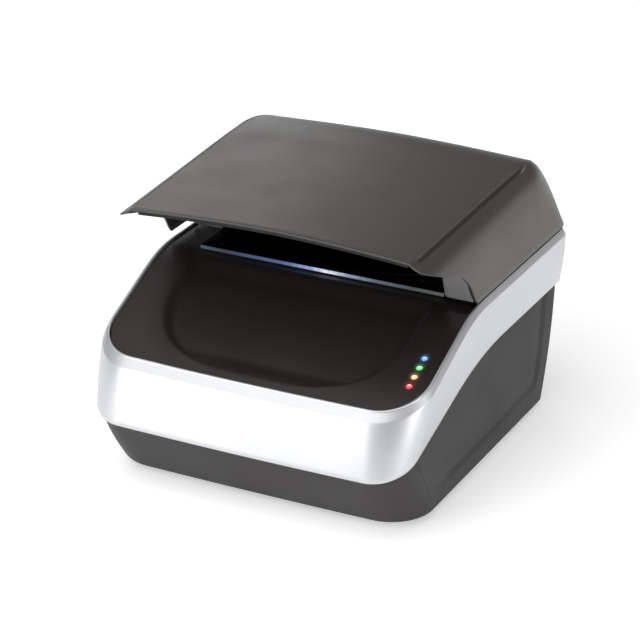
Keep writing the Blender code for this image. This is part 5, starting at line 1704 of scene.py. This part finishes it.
@dataclass(frozen=True)
class CheekFaces:
    """The satin faces that close the hood's cheeks on both sides of the window."""

    shell: HoodShell
    front: Pair = (0.0140, -0.0170)
    lean: float = 0.34
    inner: Pair = (0.0682, 0.0697)
    foot: Pair = (0.0960, 0.0979)
    top: float = 0.1250
    gap: float = 0.0024
    proud: float = 0.0009
    bulge: float = 0.0012
    round_in: float = 0.0040
    round_share: float = 0.55
    thickness: float = 0.0007
    levels: int = 16
    columns: int = 14

    def limit(self, y: float, z: float) -> float:
        """Half width inside the shell at a place.

        Args:
            y: Place along the hood.
            z: Height.

        Returns:
            The half width.
        """
        shell = self.shell
        half = mix(*shell.crease_half, shell.along(y))
        side_top = shell.crown(y) - shell.fall(half, y) - shell.crease_drop
        down = min(max((side_top - z) / (side_top - shell.foot), 0.0), 1.0)
        out = flow(shell.shoulder_drops, shell.shoulder_outs, down)
        return mix(half + shell.crease_width, shell.half_width, out) - shell.wall - self.gap

    def build(self, finishes: Finishes) -> None:
        """Makes one face for each side.

        Args:
            finishes: The finishes by slot.
        """
        for side in Side:
            front, foot, inner = (side.pick(pair) for pair in (self.front, self.foot, self.inner))
            points = []
            for level in steps(self.levels):
                z = mix(foot, self.top, level)
                y = front - self.lean * (z - foot) - self.proud
                outer = self.limit(y, z)
                for share in steps(self.columns):
                    x = mix(inner, outer, share)
                    near = max(1 - (x - inner) / self.round_in, 0.0)
                    turn = self.round_in * self.round_share * (1 - math.sqrt(1 - near**2))
                    points.append((side.value * x, y + turn - self.bulge * math.sin(math.pi * level * share), z))
            faces = grid_faces(self.levels + 1, self.columns + 1)
            face = new_piece(f"cheek_face_{side.word}", points, faces, finishes["cheek"])
            if face.data.polygons[0].normal.y > 0:
                face.data.flip_normals()
            thicken(face, self.thickness)
            place(bake(face), "hood", "hood_plastic")


# Studio


def hang(name: str, data: bpy.types.ID, spot: Vector, view: Vector) -> Piece:
    """Puts a lamp or a camera at its place.

    Args:
        name: The object's name.
        data: The lamp or camera.
        spot: The place.
        view: The direction that it looks in.

    Returns:
        The object.
    """
    thing = bpy.data.objects.new(name, data)
    thing.location = spot
    thing.rotation_euler = view.to_track_quat("-Z", "Y").to_euler()
    bpy.context.scene.collection.objects.link(thing)
    return thing


@dataclass(frozen=True)
class Lamp:
    """A soft box aimed at the object."""

    name: str
    spot: Point
    size: float
    power: float

    def make(self, target: Vector) -> None:
        """Hangs the lamp.

        Args:
            target: The point that it faces.
        """
        data = bpy.data.lights.new(self.name, "AREA")
        data.shape, data.size, data.energy = "SQUARE", self.size, self.power
        hang(self.name, data, Vector(self.spot), target - Vector(self.spot))


@dataclass(frozen=True)
class Studio:
    """Camera, pale floor, white surround and soft boxes."""

    azimuth: float = 26.8
    elevation: float = 24.3
    distance: float = 1.3403
    target: Point = (-0.0014, -0.0093, 0.0708)
    focal_pixels: float = 2670.0
    photo_width: float = 640.0
    sensor: float = 36.0
    floor_half: float = 3.0
    floor_colour: Colour = (0.90, 0.90, 0.90)
    # Floor glow at the middle and far out: the lower middle value is painted shade round the object.
    floor_glow: Pair = (0.50, 1.0)
    floor_reach: float = 2.2
    floor_grain: Pair = (300.0, 3.0)
    floor_tones: Pair = (0.995, 1.0)
    floor_rough: float = 0.9
    surround: float = 0.19
    lamps: tuple[Lamp, ...] = (
        Lamp("front_box", (-0.75, -1.48, 0.42), 0.8, 9.0),
        Lamp("top_box", (-0.2, -0.5, 1.1), 1.2, 10.5),
        Lamp("right_box", (1.54, -0.27, 0.34), 0.5, 8.0),
        Lamp("rear_left_box", (-0.98, 1.10, 0.56), 0.85, 2.9),
    )

    def make_camera(self) -> None:
        """Puts the camera where the photograph was taken from."""
        azimuth, elevation = math.radians(self.azimuth), math.radians(self.elevation)
        level = math.cos(elevation)
        away = Vector((math.sin(azimuth) * level, -math.cos(azimuth) * level, math.sin(elevation)))
        data = bpy.data.cameras.new("photo_camera")
        data.sensor_width = self.sensor
        data.lens = self.focal_pixels / self.photo_width * self.sensor
        spot = Vector(self.target) + away * self.distance
        bpy.context.scene.camera = hang("photo_camera", data, spot, -away)

    def make_floor(self) -> None:
        """Lays the pale floor that takes the object's shadow, its glow dimmed towards the middle as painted shade round
        the object.
        """
        half, (near, far) = self.floor_half, self.floor_glow
        mesh = bpy.data.meshes.new("studio_floor")
        mesh.from_pydata([(-half, -half, 0), (half, -half, 0), (half, half, 0), (-half, half, 0)], [], [(0, 1, 2, 3)])
        floor = bpy.data.objects.new("studio_floor", mesh)
        bpy.context.scene.collection.objects.link(floor)
        graph = Graph("floor_paper")
        tone = graph.shade(graph.noise(*self.floor_grain), self.floor_colour, *self.floor_tones)
        # Painted shade: the floor glows only half as much at the object's place, rising to full glow at the reach.
        dark = graph.spot((0.0, 0.0), self.floor_reach, far - near)
        glow = graph.add("ShaderNodeMath", far, dark, operation="SUBTRACT").outputs[0]
        ends = {"Roughness": self.floor_rough, "Emission_Strength": glow}
        graph.feed(graph.shader, Base_Color=tone, Emission_Color=tone, **ends)
        mesh.materials.append(graph.material)

    def make_surround(self) -> None:
        """White beyond the floor for the camera, and a soft even light for everything else."""
        world = bpy.data.worlds.new("studio_surround")
        bpy.context.scene.world = world
        world.use_nodes = True
        nodes = Nodes(world.node_tree)
        soft, white = (
            nodes.add("ShaderNodeBackground", Color=WHITE, Strength=strength).outputs[0]
            for strength in (self.surround, 1.0)
        )
        seen = nodes.add("ShaderNodeLightPath").outputs["Is Camera Ray"]
        mixed = nodes.add("ShaderNodeMixShader", seen, soft, white).outputs[0]
        nodes.add("ShaderNodeOutputWorld", Surface=mixed)

    def make(self) -> None:
        """Builds the whole studio."""
        bpy.context.scene.view_settings.view_transform = "Standard"
        self.make_camera()
        self.make_floor()
        self.make_surround()
        for lamp in self.lamps:
            lamp.make(Vector(self.target))


def main() -> None:
    """Builds the pieces in order and reports each."""
    logging.basicConfig(level=logging.INFO, format="%(name)s: %(message)s")
    Studio().make()
    LOG.info("studio ready")
    finishes = Finishes()
    finishes.dress_nodes()
    LOG.info("finishes on %d nodes", len(frame["nodes"]))
    deck, hood = Deck(), HoodShell()
    fine = (SilverBand(), deck, Window(), StatusLenses(deck), Feet(), Sockets(), BoardParts(), BaseShell())
    for part in (*fine, hood, CheekFaces(hood)):
        part.build(finishes)


if __name__ == "__main__":
    main()
